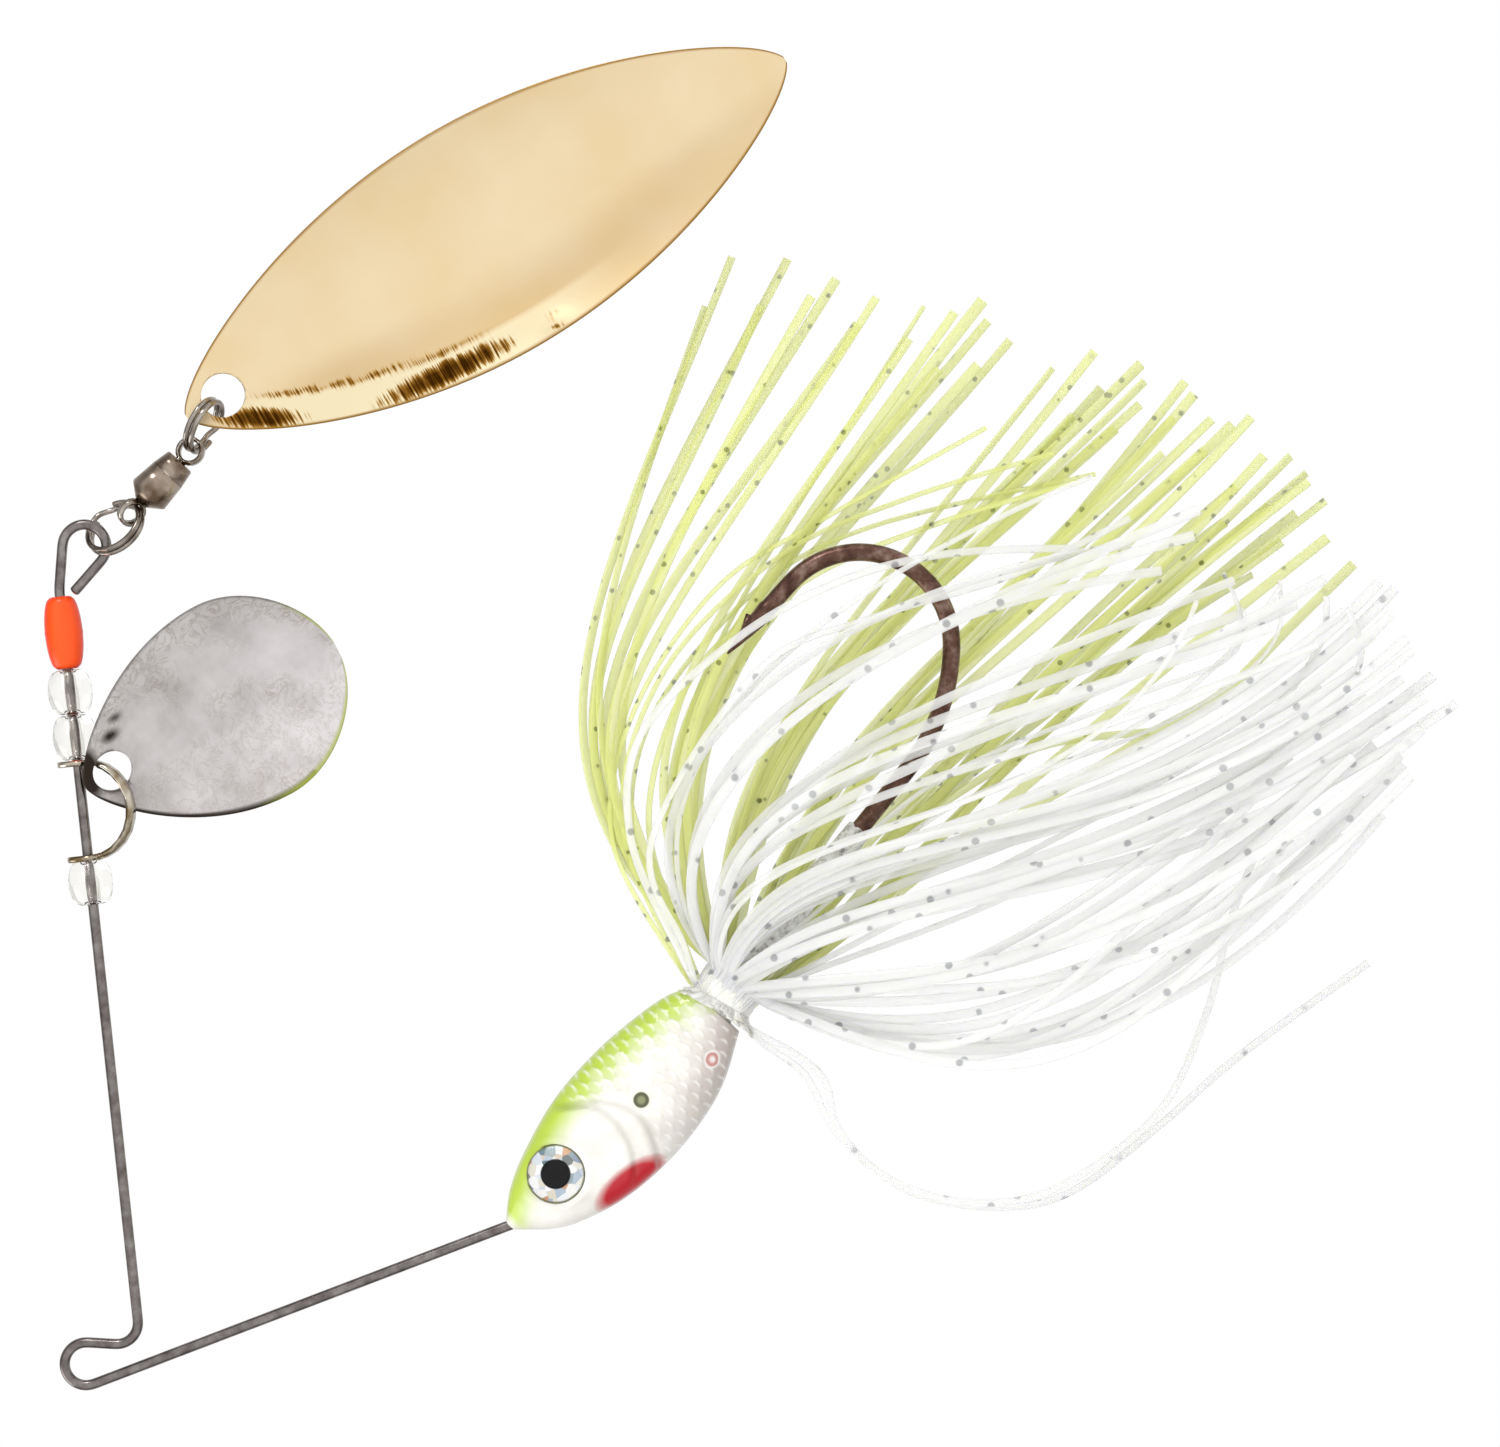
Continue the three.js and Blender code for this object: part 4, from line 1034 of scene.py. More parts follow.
# For each bundle, its launch direction at the collar and how far it keeps to it. Then for each
# strand: its tip, the direction it arrives in, how long it has kept to that, its width's share.
CHARTREUSE = {
    1: (134, 27, [(61.5, 106.1, 68, 36, 1), (66.9, 106.1, 62, 38, 1), (71.6, 104, 58, 40, 1),
                  (73.7, 99.8, 55, 38, 1), (64.3, 101.5, 66, 36, .9), (69.2, 102.3, 60, 38, .9),
                  (58.9, 101.4, 70, 34, .8), (75.5, 102.3, 58, 40, .8)]),
    2: (114, 24, [(80, 101.2, 58, 36, .5), (83, 100.7, 55, 36, .9), (85.7, 101.8, 52, 36, 1.15),
                  (86.3, 100, 50, 36, .9), (85.3, 95.7, 48, 34, 1), (88.5, 98.2, 50, 36, .9),
                  (81.5, 95.2, 50, 34, .9), (78.6, 98.0, 56, 36, .8)]),
    3: (90, 22, [(96.5, 96.9, 52, 34, .9), (97.3, 93.5, 48, 34, 1), (101, 95.7, 45, 34, 1.15),
                 (101.3, 94, 45, 34, 1), (101, 91.9, 42, 34, .9), (92.4, 95.2, 52, 34, .8),
                 (94.5, 90.8, 46, 34, .9), (98.7, 89.6, 42, 34, 1)]),
    4: (70, 22, [(105.5, 94.2, 52, 34, .9), (106.3, 92.9, 50, 34, 1), (108, 90.5, 44, 34, 1),
                 (110, 90, 45, 34, 1), (111.5, 90.5, 48, 34, 1), (104.3, 90.6, 46, 34, .9),
                 (107.2, 87.4, 42, 34, 1), (103.0, 87.0, 42, 34, .8)]),
    5: (54, 20, [(112.8, 86.8, 48, 34, 1), (115.4, 86.8, 45, 34, 1), (117, 85.2, 40, 34, 1),
                 (117, 84.3, 38, 34, .9), (118.8, 82.5, 38, 34, .9), (110.4, 84.0, 40, 34, 1),
                 (113.4, 82.0, 38, 32, .9)]),
    6: (34, 20, [(109.4, 80.6, 36, 32, 1), (118.9, 78.9, 38, 34, 1), (114.6, 78.6, 36, 34, .9),
                 (111.9, 75.4, 30, 30, .9), (116.2, 81.4, 38, 32, .9)]),
}
WHITE = {
    1: (122, 20, [(95.4, 84.2, 22, 28, .5),
                  (105.3, 81, 22, 32, 1), (104.8, 78.6, 15, 32, 1), (99, 77.8, 8, 30, 1),
                  (102.0, 75.4, 8, 30, .9)]),
    2: (96, 18, [(110, 71.5, 20, 34, 1), (112, 70, 20, 34, 1), (113.2, 73.9, 58, 30, .5),
                 (108.6, 74.4, 22, 34, 1), (114.8, 72.2, 26, 34, 1), (105, 72.5, 70, 26, .5),
                 (117.2, 74.6, 30, 34, 1), (116.3, 68.4, 24, 34, .9)]),
    3: (68, 17, [(122.5, 74.3, 47, 36, 1), (124, 73.7, 47, 36, 1), (123.3, 71.3, 45, 36, 1),
                 (124.7, 69, 42, 36, 1), (125.1, 67.8, 40, 36, .9), (121.5, 69.3, 42, 36, 1),
                 (119.2, 71.6, 40, 36, .9), (120, 66, 35, 34, 1)]),
    4: (38, 18, [(127.5, 65.5, 38, 36, 1), (126.5, 63.5, 36, 36, 1), (129.2, 62.9, 36, 36, 1),
                 (128, 62, 36, 36, .9), (121, 64, 35, 34, 1), (119.5, 62, 35, 34, 1),
                 (124.3, 65.2, 36, 36, .9), (117.0, 64.6, 32, 34, .9)]),
    5: (2, 18, [(124, 58.1, 44, 34, 1), (126, 60.5, 42, 36, 1), (122, 59.0, 40, 34, 1),
                (118, 57.6, 40, 34, .9), (114, 58, 42, 32, .9), (125.0, 56.0, 46, 34, .8),
                (123.2, 61.6, 40, 36, 1), (116.4, 60.8, 38, 34, .9)]),
    6: (-20, 20, [(118.5, 50.9, 48, 34, 1), (120.8, 54.3, 48, 34, 1), (113.8, 50.4, 48, 32, 1),
                  (110.5, 54.0, 46, 32, .8), (122.8, 52.4, 50, 34, .8), (124.6, 57.2, 46, 36, 1),
                  (119.6, 57.9, 44, 36, .9), (116.2, 55.2, 46, 34, 1), (112.6, 46.8, 52, 32, .9)]),
}
# strands that wander: the places they run through, and their width's share
WANDERING = {
    "chartreuse_2": [([(56, 38.5), (50, 50), (52, 62), (60, 74), (70, 80.5), (86, 89.5)], .5),
                     ([(56.5, 38), (51, 52), (55, 66), (66, 77), (78, 82.5), (92.5, 87)], .5)],
    "chartreuse_3": [([(57, 38.5), (52, 50), (54, 62), (64, 74), (75, 80), (96.6, 85.1)], .5),
                     ([(57.5, 38.5), (53.5, 52), (58, 66), (69, 75), (82, 80.5), (95, 84.3)], .6)],
    "chartreuse_6": [([(66, 40), (75, 48.5), (86, 56), (92, 59), (101.8, 60.2)], .8),
                     ([(67, 39.5), (80, 47), (94, 55), (102, 60), (109, 64), (115, 70),
                       (121.5, 76.4)], 1)],
    "white_1": [([(56.5, 39.5), (52, 50), (53, 60), (62, 69), (72, 74.5), (82, 77), (94, 77.5)], .8),
                ([(57, 40), (54, 50), (64, 66), (75, 71), (88, 75), (99, 80.3)], .7)],
    "white_3": [([(66, 42), (80, 55), (98, 63), (108, 67), (109.5, 71), (107.9, 75.2)], .5),
                ([(67, 41), (82, 53), (100, 60), (109, 65), (113, 69.5), (113.2, 74.5)], .5)],
    "white_4": [([(69, 38), (84, 46), (101, 55), (112, 62), (117, 68.5), (117.6, 73)], .6),
                ([(69, 37.5), (86, 44), (104, 53), (115, 60), (120.5, 66.5), (119.5, 71.5)], .6)],
    "stray_1": [([(64, 31.5), (67.5, 29.6), (70.4, 27), (71.6, 22.5), (76, 18), (83.2, 15.6),
                  (91.8, 16.6), (101.8, 23.7), (106.5, 33), (109, 42.3), (111.3, 48.5)], .7)],
    "stray_2": [([(64.5, 30.5), (68.5, 27.5), (71.5, 22), (78, 16.6), (86, 14.9), (93.5, 16.2),
                  (102, 22.5), (110, 29.5), (122.1, 38.2)], .8)],
}
# for each family: the first bundle's place round the shank, the step to the next, and how far the
# strands rise out of the flat on the way and at the tip
ROUNDS = {"chartreuse": (-12, -28, -5, -7), "white": (12, 26, 7, 7), "stray": (160, 24, 1, 0.5)}


def strand_through(round_angle, points, bulge, rise):
    """The points of a strand that runs from the collar through a few given places."""
    out = SKIRT_ROOT_RADIUS
    angle = math.radians(round_angle)
    root = COLLAR + turned((-1.3, (out - 0.35) * math.cos(angle)), SHANK_ANGLE)
    stops = [Vector((root.x, root.y, (out - 0.35) * math.sin(angle)))]
    for i, (u, v) in enumerate(points, 1):
        t = i / len(points)
        stops.append(Vector((u, v, bulge * math.sin(math.pi * min(1, t * 1.1)) + rise * t)))
    path = []
    for i in range(len(stops) - 1):
        a, b = stops[max(0, i - 1)], stops[i]
        c, d = stops[i + 1], stops[min(len(stops) - 1, i + 2)]
        steps = max(2, round((c - b).length / 1.1))
        near, far = b + (c - a) / 6, c - (d - b) / 6
        path += interpolate_bezier(b, near, far, c, steps + 1)[:-1]
    return [lay(*p) for p in [*path, stops[-1]]]


def strand_path(round_angle, launch, reach, tip, arrive, back, bulge, rise):
    """The points of a strand from under the collar to its tip, in metres."""
    out = SKIRT_ROOT_RADIUS
    angle = math.radians(round_angle)
    root = COLLAR + turned((1.4, out * math.cos(angle)), SHANK_ANGLE)
    start = Vector((root.x, root.y, out * math.sin(angle)))
    under = COLLAR + turned((-1.3, (out - 0.35) * math.cos(angle)), SHANK_ANGLE)
    lead = Vector((under.x, under.y, (out - 0.35) * math.sin(angle)))
    near = Vector((*(root + polar(reach, launch)), bulge))
    far = Vector((*(Vector(tip) - polar(back, arrive)), bulge + rise / 3))
    end = Vector((*tip, rise))
    curve = interpolate_bezier(start, near, far, end, 44)
    return [lay(*p) for p in [lead, *curve]]


def strand_tree(width, thickness, material):
    """Geometry Nodes: flat strips along a mesh of edges, each with its own width and twist."""
    tree = bpy.data.node_groups.new("strands", "GeometryNodeTree")
    tree.interface.new_socket("Paths", in_out="INPUT", socket_type="NodeSocketGeometry")
    for name, value in (("Width", width), ("Thickness", thickness)):
        made = tree.interface.new_socket(name, in_out="INPUT", socket_type="NodeSocketFloat")
        made.default_value = value
    tree.interface.new_socket("Strips", in_out="OUTPUT", socket_type="NodeSocketGeometry")
    given = add(tree, "NodeGroupInput").outputs
    curve = add(tree, "GeometryNodeMeshToCurve", {"Mesh": given["Paths"]})
    flat = add(tree, "GeometryNodeInputNamedAttribute", {"Name": "flat"},
               data_type="FLOAT_VECTOR")
    faced = add(tree, "GeometryNodeSetCurveNormal", {
        "Curve": curve.outputs["Curve"], "Normal": flat.outputs["Attribute"]}, mode="FREE")
    section = add(tree, "GeometryNodeCurvePrimitiveQuadrilateral", {
        "Width": given["Thickness"], "Height": given["Width"]}, mode="RECTANGLE")
    soft = add(tree, "GeometryNodeFilletCurve", {
        "Curve": section.outputs["Curve"], "Radius": 0.09 * MM, "Count": 1}, mode="POLY")
    share = add(tree, "GeometryNodeInputNamedAttribute", {"Name": "share"}, data_type="FLOAT")
    strips = add(tree, "GeometryNodeCurveToMesh", {
        "Curve": faced.outputs["Curve"], "Profile Curve": soft.outputs["Curve"],
        "Fill Caps": True, "Scale": share.outputs["Attribute"]})
    real = add(tree, "GeometryNodeRealizeInstances", {"Geometry": strips.outputs["Mesh"]})
    painted = add(tree, "GeometryNodeSetMaterial", {
        "Geometry": real.outputs["Geometry"], "Material": material})
    add(tree, "NodeGroupOutput", {"Strips": painted.outputs["Geometry"]})
    return tree


def strand_bundle(name, rows, wandering, family, material, sizes, seed):
    """The strands of one bundle as one piece, made by the strands tree along drawn paths."""
    rand = random.Random(seed)
    launch, reach, tips = rows
    first, spread, bulge, rise = ROUNDS[family]
    verts, edges, flats, shares = [], [], [], []
    laid = []
    for u, v, arrive, back, share in tips:
        turn = first + (seed % 10 - 1) * spread + rand.uniform(-14, 14)
        laid.append((share, strand_path(
            turn, launch + rand.uniform(-7, 7), reach * rand.uniform(0.9, 1.12), (u, v), arrive,
            back, bulge + rand.uniform(-3.0, 3.0), rise + rand.uniform(-2.5, 2.5))))
    for stations, share in wandering:
        turn = first + (seed % 10 - 1) * spread + rand.uniform(-10, 10)
        laid.append((share, strand_through(
            turn, stations, bulge * 0.5 + rand.uniform(-1.5, 1.5), rise * rand.uniform(0.6, 1.1))))
    for share, path in laid:
        roll, twist = rand.uniform(-38, 38), rand.uniform(-24, 24)
        start = len(verts)
        for i, point in enumerate(path):
            step = path[min(i + 1, len(path) - 1)] - path[max(i - 1, 0)]
            step.normalize()
            facing = (FLAT_W - step * FLAT_W.dot(step)).normalized()
            t = i / (len(path) - 1)
            turned_by = math.radians(roll + twist * t)
            flats.append(Matrix.Rotation(turned_by, 3, step) @ facing)
            shares.append(share * (0.8 + 0.2 * smoothstep(0, 0.12, t)))
            verts.append(point)
        edges += [(start + i, start + i + 1) for i in range(len(path) - 1)]
    mesh = bpy.data.meshes.new(name)
    mesh.from_pydata([tuple(v) for v in verts], edges, [])
    normals = mesh.attributes.new("flat", "FLOAT_VECTOR", "POINT")
    normals.data.foreach_set("vector", [c for n in flats for c in n])
    mesh.attributes.new("share", "FLOAT", "POINT").data.foreach_set("value", shares)
    paths = bpy.data.objects.new(name + "_paths", mesh)
    bpy.context.scene.collection.objects.link(paths)
    tree = strand_tree(sizes.strand_width, sizes.strand_thickness, material)
    modifier = paths.modifiers.new("strands", "NODES")
    modifier.node_group = tree
    inputs = {item.name: item.identifier for item in tree.interface.items_tree
              if item.in_out == "INPUT"}
    modifier[inputs["Width"]] = sizes.strand_width
    modifier[inputs["Thickness"]] = sizes.strand_thickness
    graph = bpy.context.evaluated_depsgraph_get()
    made = bpy.data.meshes.new_from_object(paths.evaluated_get(graph))
    bpy.data.objects.remove(paths)
    for key in ("flat", "share"):
        if key in made.attributes:
            made.attributes.remove(made.attributes[key])
    return new_object(name, made, material)


def collar(material):
    """The rubber band that holds the skirt, slipped a little askew, with short strand stubs."""
    axis = direction(SHANK_ANGLE + 8)
    outline = rounded([(2.35, -1.0), (2.95, -1.0), (3.0, 0), (2.95, 1.0), (2.35, 1.0)], 0.3)
    verts, faces = lathe(outline, lay(*COLLAR), axis, 72)
    side = axis.cross(FLAT_W)
    rand = random.Random(11)
    for i in range(46):
        turn = 2 * math.pi * (i + rand.uniform(-0.3, 0.3)) / 46
        out = FLAT_W * math.cos(turn) + side * math.sin(turn)
        along = axis.cross(out)
        flare = 1.3 * abs(math.sin(turn)) + 0.3
        length = rand.uniform(0.5, 1.1) + flare * rand.uniform(0.3, 0.8)
        width, thin = rand.uniform(0.35, 0.6), 0.14
        base = len(verts)
        for t in (0.0, 0.35, 0.7, 1.0):
            middle = lay(*COLLAR) + (
                axis * (-0.7 - length * t * 0.75) + out * (2.72 + 0.3 * t + 0.55 * length * t * t)
            ) * MM
            for a, b in ((-1, -1), (1, -1), (1, 1), (-1, 1)):
                verts.append(middle + (along * (a * width) + out * (b * thin)) * MM)
        faces += grid_faces(4, 4, base)
        faces += [(base, base + 1, base + 2, base + 3), (base + 15, base + 14, base + 13, base + 12)]
    return shell("rubber_collar", verts, faces, material)


# ------------------------------------------------------------------ sizes and colours to change


class LureSizes(bpy.types.PropertyGroup):
    wire_radius: bpy.props.FloatProperty(
        name="Wire radius", description="Radius of the spring wire frame",
        default=WIRE_RADIUS * MM, unit="LENGTH")
    ring_wire: bpy.props.FloatProperty(
        name="Ring wire radius", description="Radius of the split rings' wire",
        default=0.275 * MM, unit="LENGTH")
    strand_width: bpy.props.FloatProperty(
        name="Strand width", description="Width of one silicone strand",
        default=1.0 * MM, unit="LENGTH")
    strand_thickness: bpy.props.FloatProperty(
        name="Strand thickness", description="Thickness of one silicone strand",
        default=0.32 * MM, unit="LENGTH")


class LureColours(bpy.types.PropertyGroup):
    chartreuse: bpy.props.FloatVectorProperty(
        name="Chartreuse", description="Colour of the chartreuse strands",
        default=linear("#E9EE9C")[:3], subtype="COLOR", min=0, max=1)
    white: bpy.props.FloatVectorProperty(
        name="White", description="Colour of the white strands",
        default=linear("#F6F6F5")[:3], subtype="COLOR", min=0, max=1)


# ------------------------------------------------------------------ one operator for each piece


class LURE_OT_wire_frame(bpy.types.Operator):
    """The bent spring wire: lower wire, line tie, blade arm and the loop for the ring."""
    bl_idname = "lure.wire_frame"
    bl_label = "Wire frame"

    def execute(self, context):
        flat = list(reversed(tail_wire.points)) + arm_wire.points
        radius = context.scene.lure_sizes.wire_radius
        verts, faces = tube(smooth_path(flat, 0.35), radius, 20)
        wire = shell("spring_wire", verts, faces, drawn_steel())
        seat(wire, "frame", "spring_wire", "wire_frame")
        return {"FINISHED"}


class LURE_OT_beads(bpy.types.Operator):
    """The orange bead and the three clear beads on the blade arm."""
    bl_idname = "lure.beads"
    bl_label = "Beads"

    def execute(self, context):
        orange = bead("styrene_orange_bead", 3.875, 6.85, 1.8, 1.0, orange_styrene())
        seat(orange, "orange_bead", "orange_bead", "orange_bead")
        clear = moulded_clear("clear moulded styrene", "#FBFAF6", 0.02)
        for i, down in enumerate((9.55, 13.9, 27.78), 1):
            made = bead(f"styrene_clear_bead_{i}", down, 4.2, 2.1, 1.155, clear)
            seat(made, f"clear_bead_{i}", "clear_bead", f"clear_bead_{i}")
        return {"FINISHED"}


class LURE_OT_clevis(bpy.types.Operator):
    """The clevis: a strap bent to a bow, with an ear on the arm at each end."""
    bl_idname = "lure.clevis"
    bl_label = "Clevis"

    def execute(self, context):
        finish_on = bright_nickel("polished nickel on stamped brass", "#DDD4C6", "#8A7654", 0.1)
        made = refined("clevis", "clevis_strap", finish_on, 0.07, 0.09)
        seat(made, "clevis", "bright_nickel", "clevis")
        return {"FINISHED"}


class LURE_OT_blades(bpy.types.Operator):
    """The small nickel blade on the clevis and the large gold blade on the swivel."""
    bl_idname = "lure.blades"
    bl_label = "Blades"

    def execute(self, context):
        place = drawing_matrix(13.0, 92.26, 0, 30.8)
        gold = blade("gold_willow_blade", place, GOLD_SIZE, gold_plate(), gold_paint,
                     gold_relief)
        seat(gold, "gold_blade", "gold_plate", "gold_blade")
        place = drawing_matrix(2.681, 56.407, 0.9, 29, 8, 22)
        nickel = blade("nickel_colorado_blade", place, NICKEL_SIZE, tarnished_nickel(),
                       nickel_paint, lambda x, y, width: 0.0)
        seat(nickel, "nickel_blade", "nickel_plate", "nickel_blade")
        return {"FINISHED"}


class LURE_OT_rings(bpy.types.Operator):
    """The two split rings, one each side of the swivel."""
    bl_idname = "lure.rings"
    bl_label = "Split rings"

    def execute(self, context):
        wire = context.scene.lure_sizes.ring_wire / MM
        chrome = bright_nickel("bright nickel on spring wire", "#BDB4AB", "#857A70", 0.14)
        lower = split_ring("lower_ring_coils", (2.74, 79.65), 2.8, 38, -46, 90, wire, chrome)
        seat(lower, "lower_ring", "swivel_nickel", "lower_split_ring")
        upper = split_ring("upper_ring_coils", (11.20, 89.37), 2.6, 63.3, 74, 270, wire, chrome)
        seat(upper, "upper_ring", "swivel_nickel", "upper_split_ring")
        return {"FINISHED"}


class LURE_OT_swivel(bpy.types.Operator):
    """The ball-bearing swivel: barrel, cap, balls and an eye at each end."""
    bl_idname = "lure.swivel"
    bl_label = "Ball-bearing swivel"

    def execute(self, context):
        shell_metal = bright_nickel("nickel-plated brass, turned", "#B3A396", "#6E5A48", 0.24)
        eye_metal = bright_nickel("nickel-plated wire, flattened", "#C9C1B8", "#7C6C5A", 0.18)
        ball_metal = bright_nickel("hardened steel balls", "#D5D5D5", "#BDBDBD", 0.08)
        for node, body in (("swivel_barrel", "swivel_body"), ("swivel_cap", "swivel_body"),
                           ("swivel_lower_eye", "swivel_body"),
                           ("swivel_upper_eye", "swivel_upper_eye")):
            metal = eye_metal if "eye" in node else shell_metal
            made = refined(node, node + "_turned", metal, 0.07, 0.0 if "eye" in node else 0.15)
            seat(made, body, "swivel_nickel", node)
        for i in range(1, 7):
            low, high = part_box(f"swivel_ball_{i}")
            middle = (low + high) / 2
            radius = max(high - low) / 2
            ball = bmesh.new()
            bmesh.ops.create_icosphere(
                ball, subdivisions=3, radius=radius, matrix=Matrix.Translation(middle))
            mesh = bpy.data.meshes.new(f"bearing_ball_{i}")
            ball.to_mesh(mesh)
            ball.free()
            made = new_object(f"bearing_ball_{i}", mesh, ball_metal)
            seat(made, "swivel_body", "swivel_nickel", f"swivel_ball_{i}")
        return {"FINISHED"}


class LURE_OT_head(bpy.types.Operator):
    """The painted lead head with its scales, and the keeper behind it."""
    bl_idname = "lure.head"
    bl_label = "Head"

    def execute(self, context):
        head = head_casting(head_paint())
        seat(head, "frame", "head_paint", "head_body")
        sleeve = keeper(keeper_paint())
        seat(sleeve, "frame", "head_paint", "head_body")
        return {"FINISHED"}


class LURE_OT_eyes(bpy.types.Operator):
    """The foil eyes and their clear domes, one pair on each side of the head."""
    bl_idname = "lure.eyes"
    bl_label = "Eyes"

    def execute(self, context):
        foil, resin = eye_foil(), moulded_clear("clear epoxy resin", "#FFFFFF", 0.02, 1.36)
        for side, name in ((1, "left"), (-1, "right")):
            profile = [(0.02 + 2.73 * i / 40, 2.57) for i in range(41)]
            profile += [(FOIL_RADIUS, 2.27), (0.02, 2.27)]
            disc = head_lathe(f"foil_disc_{name}", profile, side, foil, "ring")
            seat(disc, "frame", "eye_foil", f"eye_foil_{name}")
            dome = [(0.02, 2.56), (2.7, 2.56), (2.76, 2.62)]
            dome += [(2.76 * math.cos(math.pi / 2 * i / 24), 2.75 + 0.8 * math.sin(
                math.pi / 2 * i / 24)) for i in range(24)] + [(0.02, 3.55)]
            lens = head_lathe(f"resin_dome_{name}", dome, side, resin)
            seat(lens, "frame", "eye_resin", f"eye_dome_{name}")
        return {"FINISHED"}


class LURE_OT_hook(bpy.types.Operator):
    """The single hook that is cast into the head."""
    bl_idname = "lure.hook"
    bl_label = "Hook"

    def execute(self, context):
        seat(hook(bronzed_steel()), "frame", "hook_bronze", "hook")
        return {"FINISHED"}


class LURE_OT_skirt(bpy.types.Operator):
    """The rubber collar and the silicone strands it holds, bundle by bundle."""
    bl_idname = "lure.skirt"
    bl_label = "Skirt"

    def execute(self, context):
        sizes, colours = context.scene.lure_sizes, context.scene.lure_colours
        seat(collar(clear_rubber()), "frame", "collar_rubber", "skirt_collar")
        yellow = silicone(
            "flecked chartreuse silicone", tuple(colours.chartreuse), "#6F7A1E", 0.54, 1.4)
        milk = silicone(
            "flecked white silicone", tuple(colours.white), "#A6A9AB", 0.5, 1.9)
        strays = {1: (0, 0, []), 2: (0, 0, [])}
        kinds = (("chartreuse", CHARTREUSE, yellow, "chartreuse_silicone"),
                 ("white", WHITE, milk, "white_silicone"),
                 ("stray", strays, milk, "white_silicone"))
        for k, (family, rows, material, slot) in enumerate(kinds):
            for i, row in rows.items():
                made = strand_bundle(
                    f"{family}_strands_{i}", row, WANDERING.get(f"{family}_{i}", []), family,
                    material, sizes, 10 * k + i)
                seat(made, "frame", slot, f"skirt_{family}_{i}")
        return {"FINISHED"}


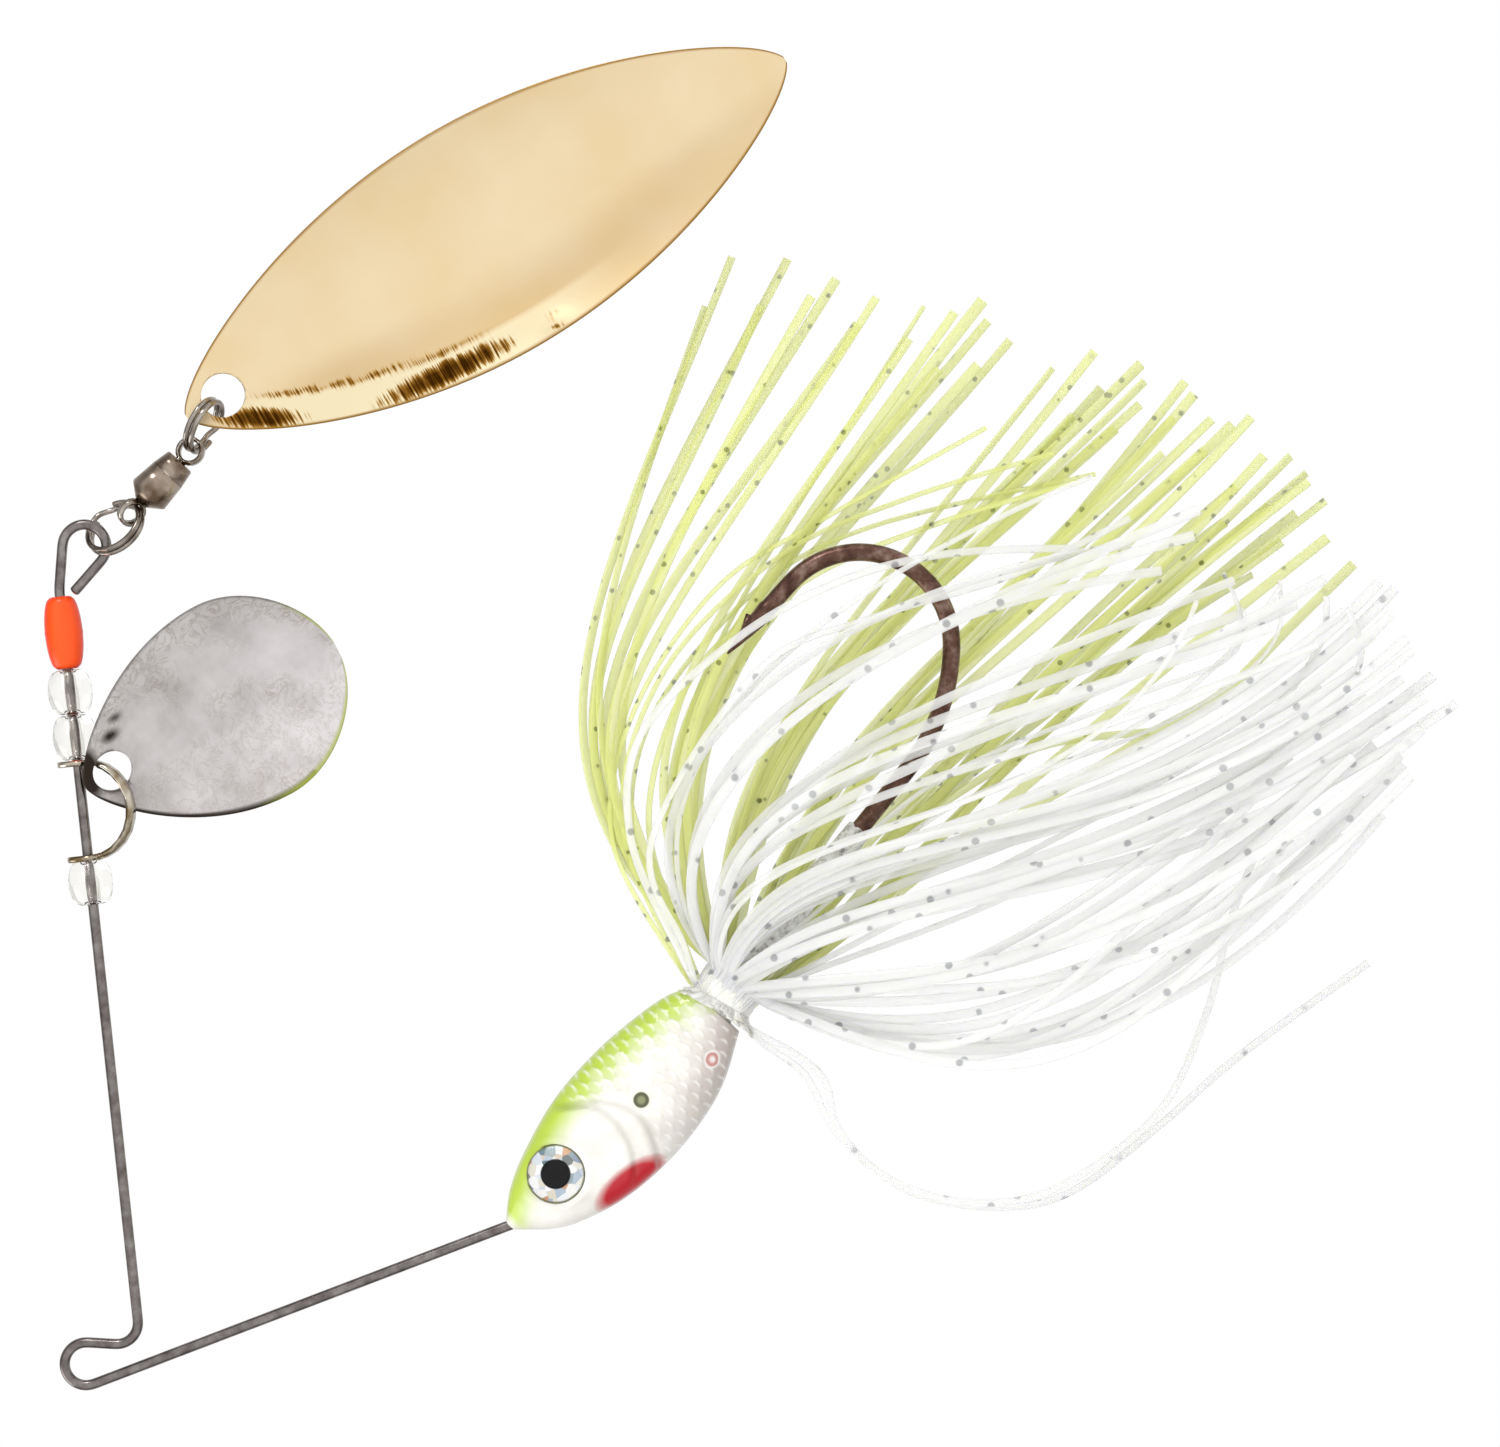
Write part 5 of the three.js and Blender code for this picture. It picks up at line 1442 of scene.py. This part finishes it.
class LURE_OT_studio(bpy.types.Operator):
    """A plain pale floor, soft lights and the camera."""
    bl_idname = "lure.studio"
    bl_label = "Studio"

    def execute(self, context):
        verts = [(0, 0, FLOOR_HEIGHT)] + [
            (FLOOR_RADIUS * math.cos(2 * math.pi * k / 96),
             FLOOR_RADIUS * math.sin(2 * math.pi * k / 96), FLOOR_HEIGHT) for k in range(96)]
        faces = [(0, 1 + k, 1 + (k + 1) % 96) for k in range(96)]
        shell("table", verts, faces, floor_paper())
        self.light("key", (-0.35, -0.55, 0.35), 0.45, 1.7).visible_glossy = False
        self.light("glint", (0.55, -0.28, -0.3), 0.16, 0.7)
        self.light("fill", (0.5, -0.5, 0.05), 0.6, 1.2).visible_glossy = False
        self.light("top", (0.05, -0.05, 0.7), 0.6, 1.6)
        self.world(context)
        data = bpy.data.cameras.new("camera")
        data.lens, data.sensor_width = 120, 36
        data.clip_start, data.clip_end = 0.01, 10
        camera = bpy.data.objects.new("camera", data)
        context.scene.collection.objects.link(camera)
        back = -FLAT_V.cross(FLAT_U).normalized()
        pose = Matrix((FLAT_U, FLAT_V, back)).transposed().to_4x4()
        pose.translation = lay(63.24, 61.0) + back * 0.4763
        camera.matrix_world = pose
        context.scene.camera = camera
        context.scene.view_settings.view_transform = "Standard"
        context.scene.cycles.transparent_max_bounces = 96
        return {"FINISHED"}

    def light(self, name, place, size, watts):
        data = bpy.data.lights.new(name, "AREA")
        data.shape, data.size, data.energy = "DISK", size, watts
        lamp = bpy.data.objects.new(name, data)
        bpy.context.scene.collection.objects.link(lamp)
        lamp.location = place
        aim = Vector((-0.06, 0, -0.06)) - Vector(place)
        lamp.rotation_euler = aim.to_track_quat("-Z", "Y").to_euler()
        return lamp

    def world(self, context):
        world = bpy.data.worlds.new("studio")
        context.scene.world = world
        world.use_nodes = True
        tree = world.node_tree
        tree.nodes.clear()
        way = add(tree, "ShaderNodeTexCoord").outputs["Generated"]
        parts = add(tree, "ShaderNodeSeparateXYZ", {"Vector": way})
        front = ramp(tree, span(tree, parts.outputs["Y"], -1.0, 1.0), [
            (0.0, (0.95, 0.95, 0.95, 1)), (0.25, (0.8, 0.8, 0.8, 1)),
            (0.42, (0.28, 0.27, 0.26, 1)), (0.75, (0.5, 0.5, 0.5, 1)),
            (1.0, (0.9, 0.9, 0.9, 1))])
        rays = add(tree, "ShaderNodeLightPath")
        seen = maths(tree, "MAXIMUM", rays.outputs["Is Camera Ray"],
                     rays.outputs["Is Transmission Ray"])
        studio = add(tree, "ShaderNodeBackground", {"Color": front, "Strength": 1.0})
        paper = add(tree, "ShaderNodeBackground", {"Color": (1, 1, 1, 1), "Strength": 1.0})
        either = add(tree, "ShaderNodeMixShader", {
            0: seen, 1: studio.outputs[0], 2: paper.outputs[0]})
        add(tree, "ShaderNodeOutputWorld", {"Surface": either.outputs[0]})


STEPS = (
    LURE_OT_wire_frame, LURE_OT_beads, LURE_OT_clevis, LURE_OT_blades, LURE_OT_rings,
    LURE_OT_swivel, LURE_OT_head, LURE_OT_eyes, LURE_OT_hook, LURE_OT_skirt, LURE_OT_studio,
)


class LURE_PT_panel(bpy.types.Panel):
    """The pieces of the lure, in the order in which they are built."""
    bl_label = "Spinnerbait"
    bl_idname = "LURE_PT_panel"
    bl_space_type = "VIEW_3D"
    bl_region_type = "UI"
    bl_category = "Lure"

    def draw(self, context):
        column = self.layout.column()
        for group in (context.scene.lure_sizes, context.scene.lure_colours):
            for name in group.__annotations__:
                column.prop(group, name)
        for step in STEPS:
            column.operator(step.bl_idname)


CLASSES = (LureSizes, LureColours, *STEPS, LURE_PT_panel)


def register():
    for each in CLASSES:
        bpy.utils.register_class(each)
    bpy.types.Scene.lure_sizes = bpy.props.PointerProperty(type=LureSizes)
    bpy.types.Scene.lure_colours = bpy.props.PointerProperty(type=LureColours)


def unregister():
    del bpy.types.Scene.lure_colours
    del bpy.types.Scene.lure_sizes
    for each in reversed(CLASSES):
        bpy.utils.unregister_class(each)


def main():
    register()
    for step in STEPS:
        group, name = step.bl_idname.split(".")
        getattr(getattr(bpy.ops, group), name)()


if __name__ == "__main__":
    main()
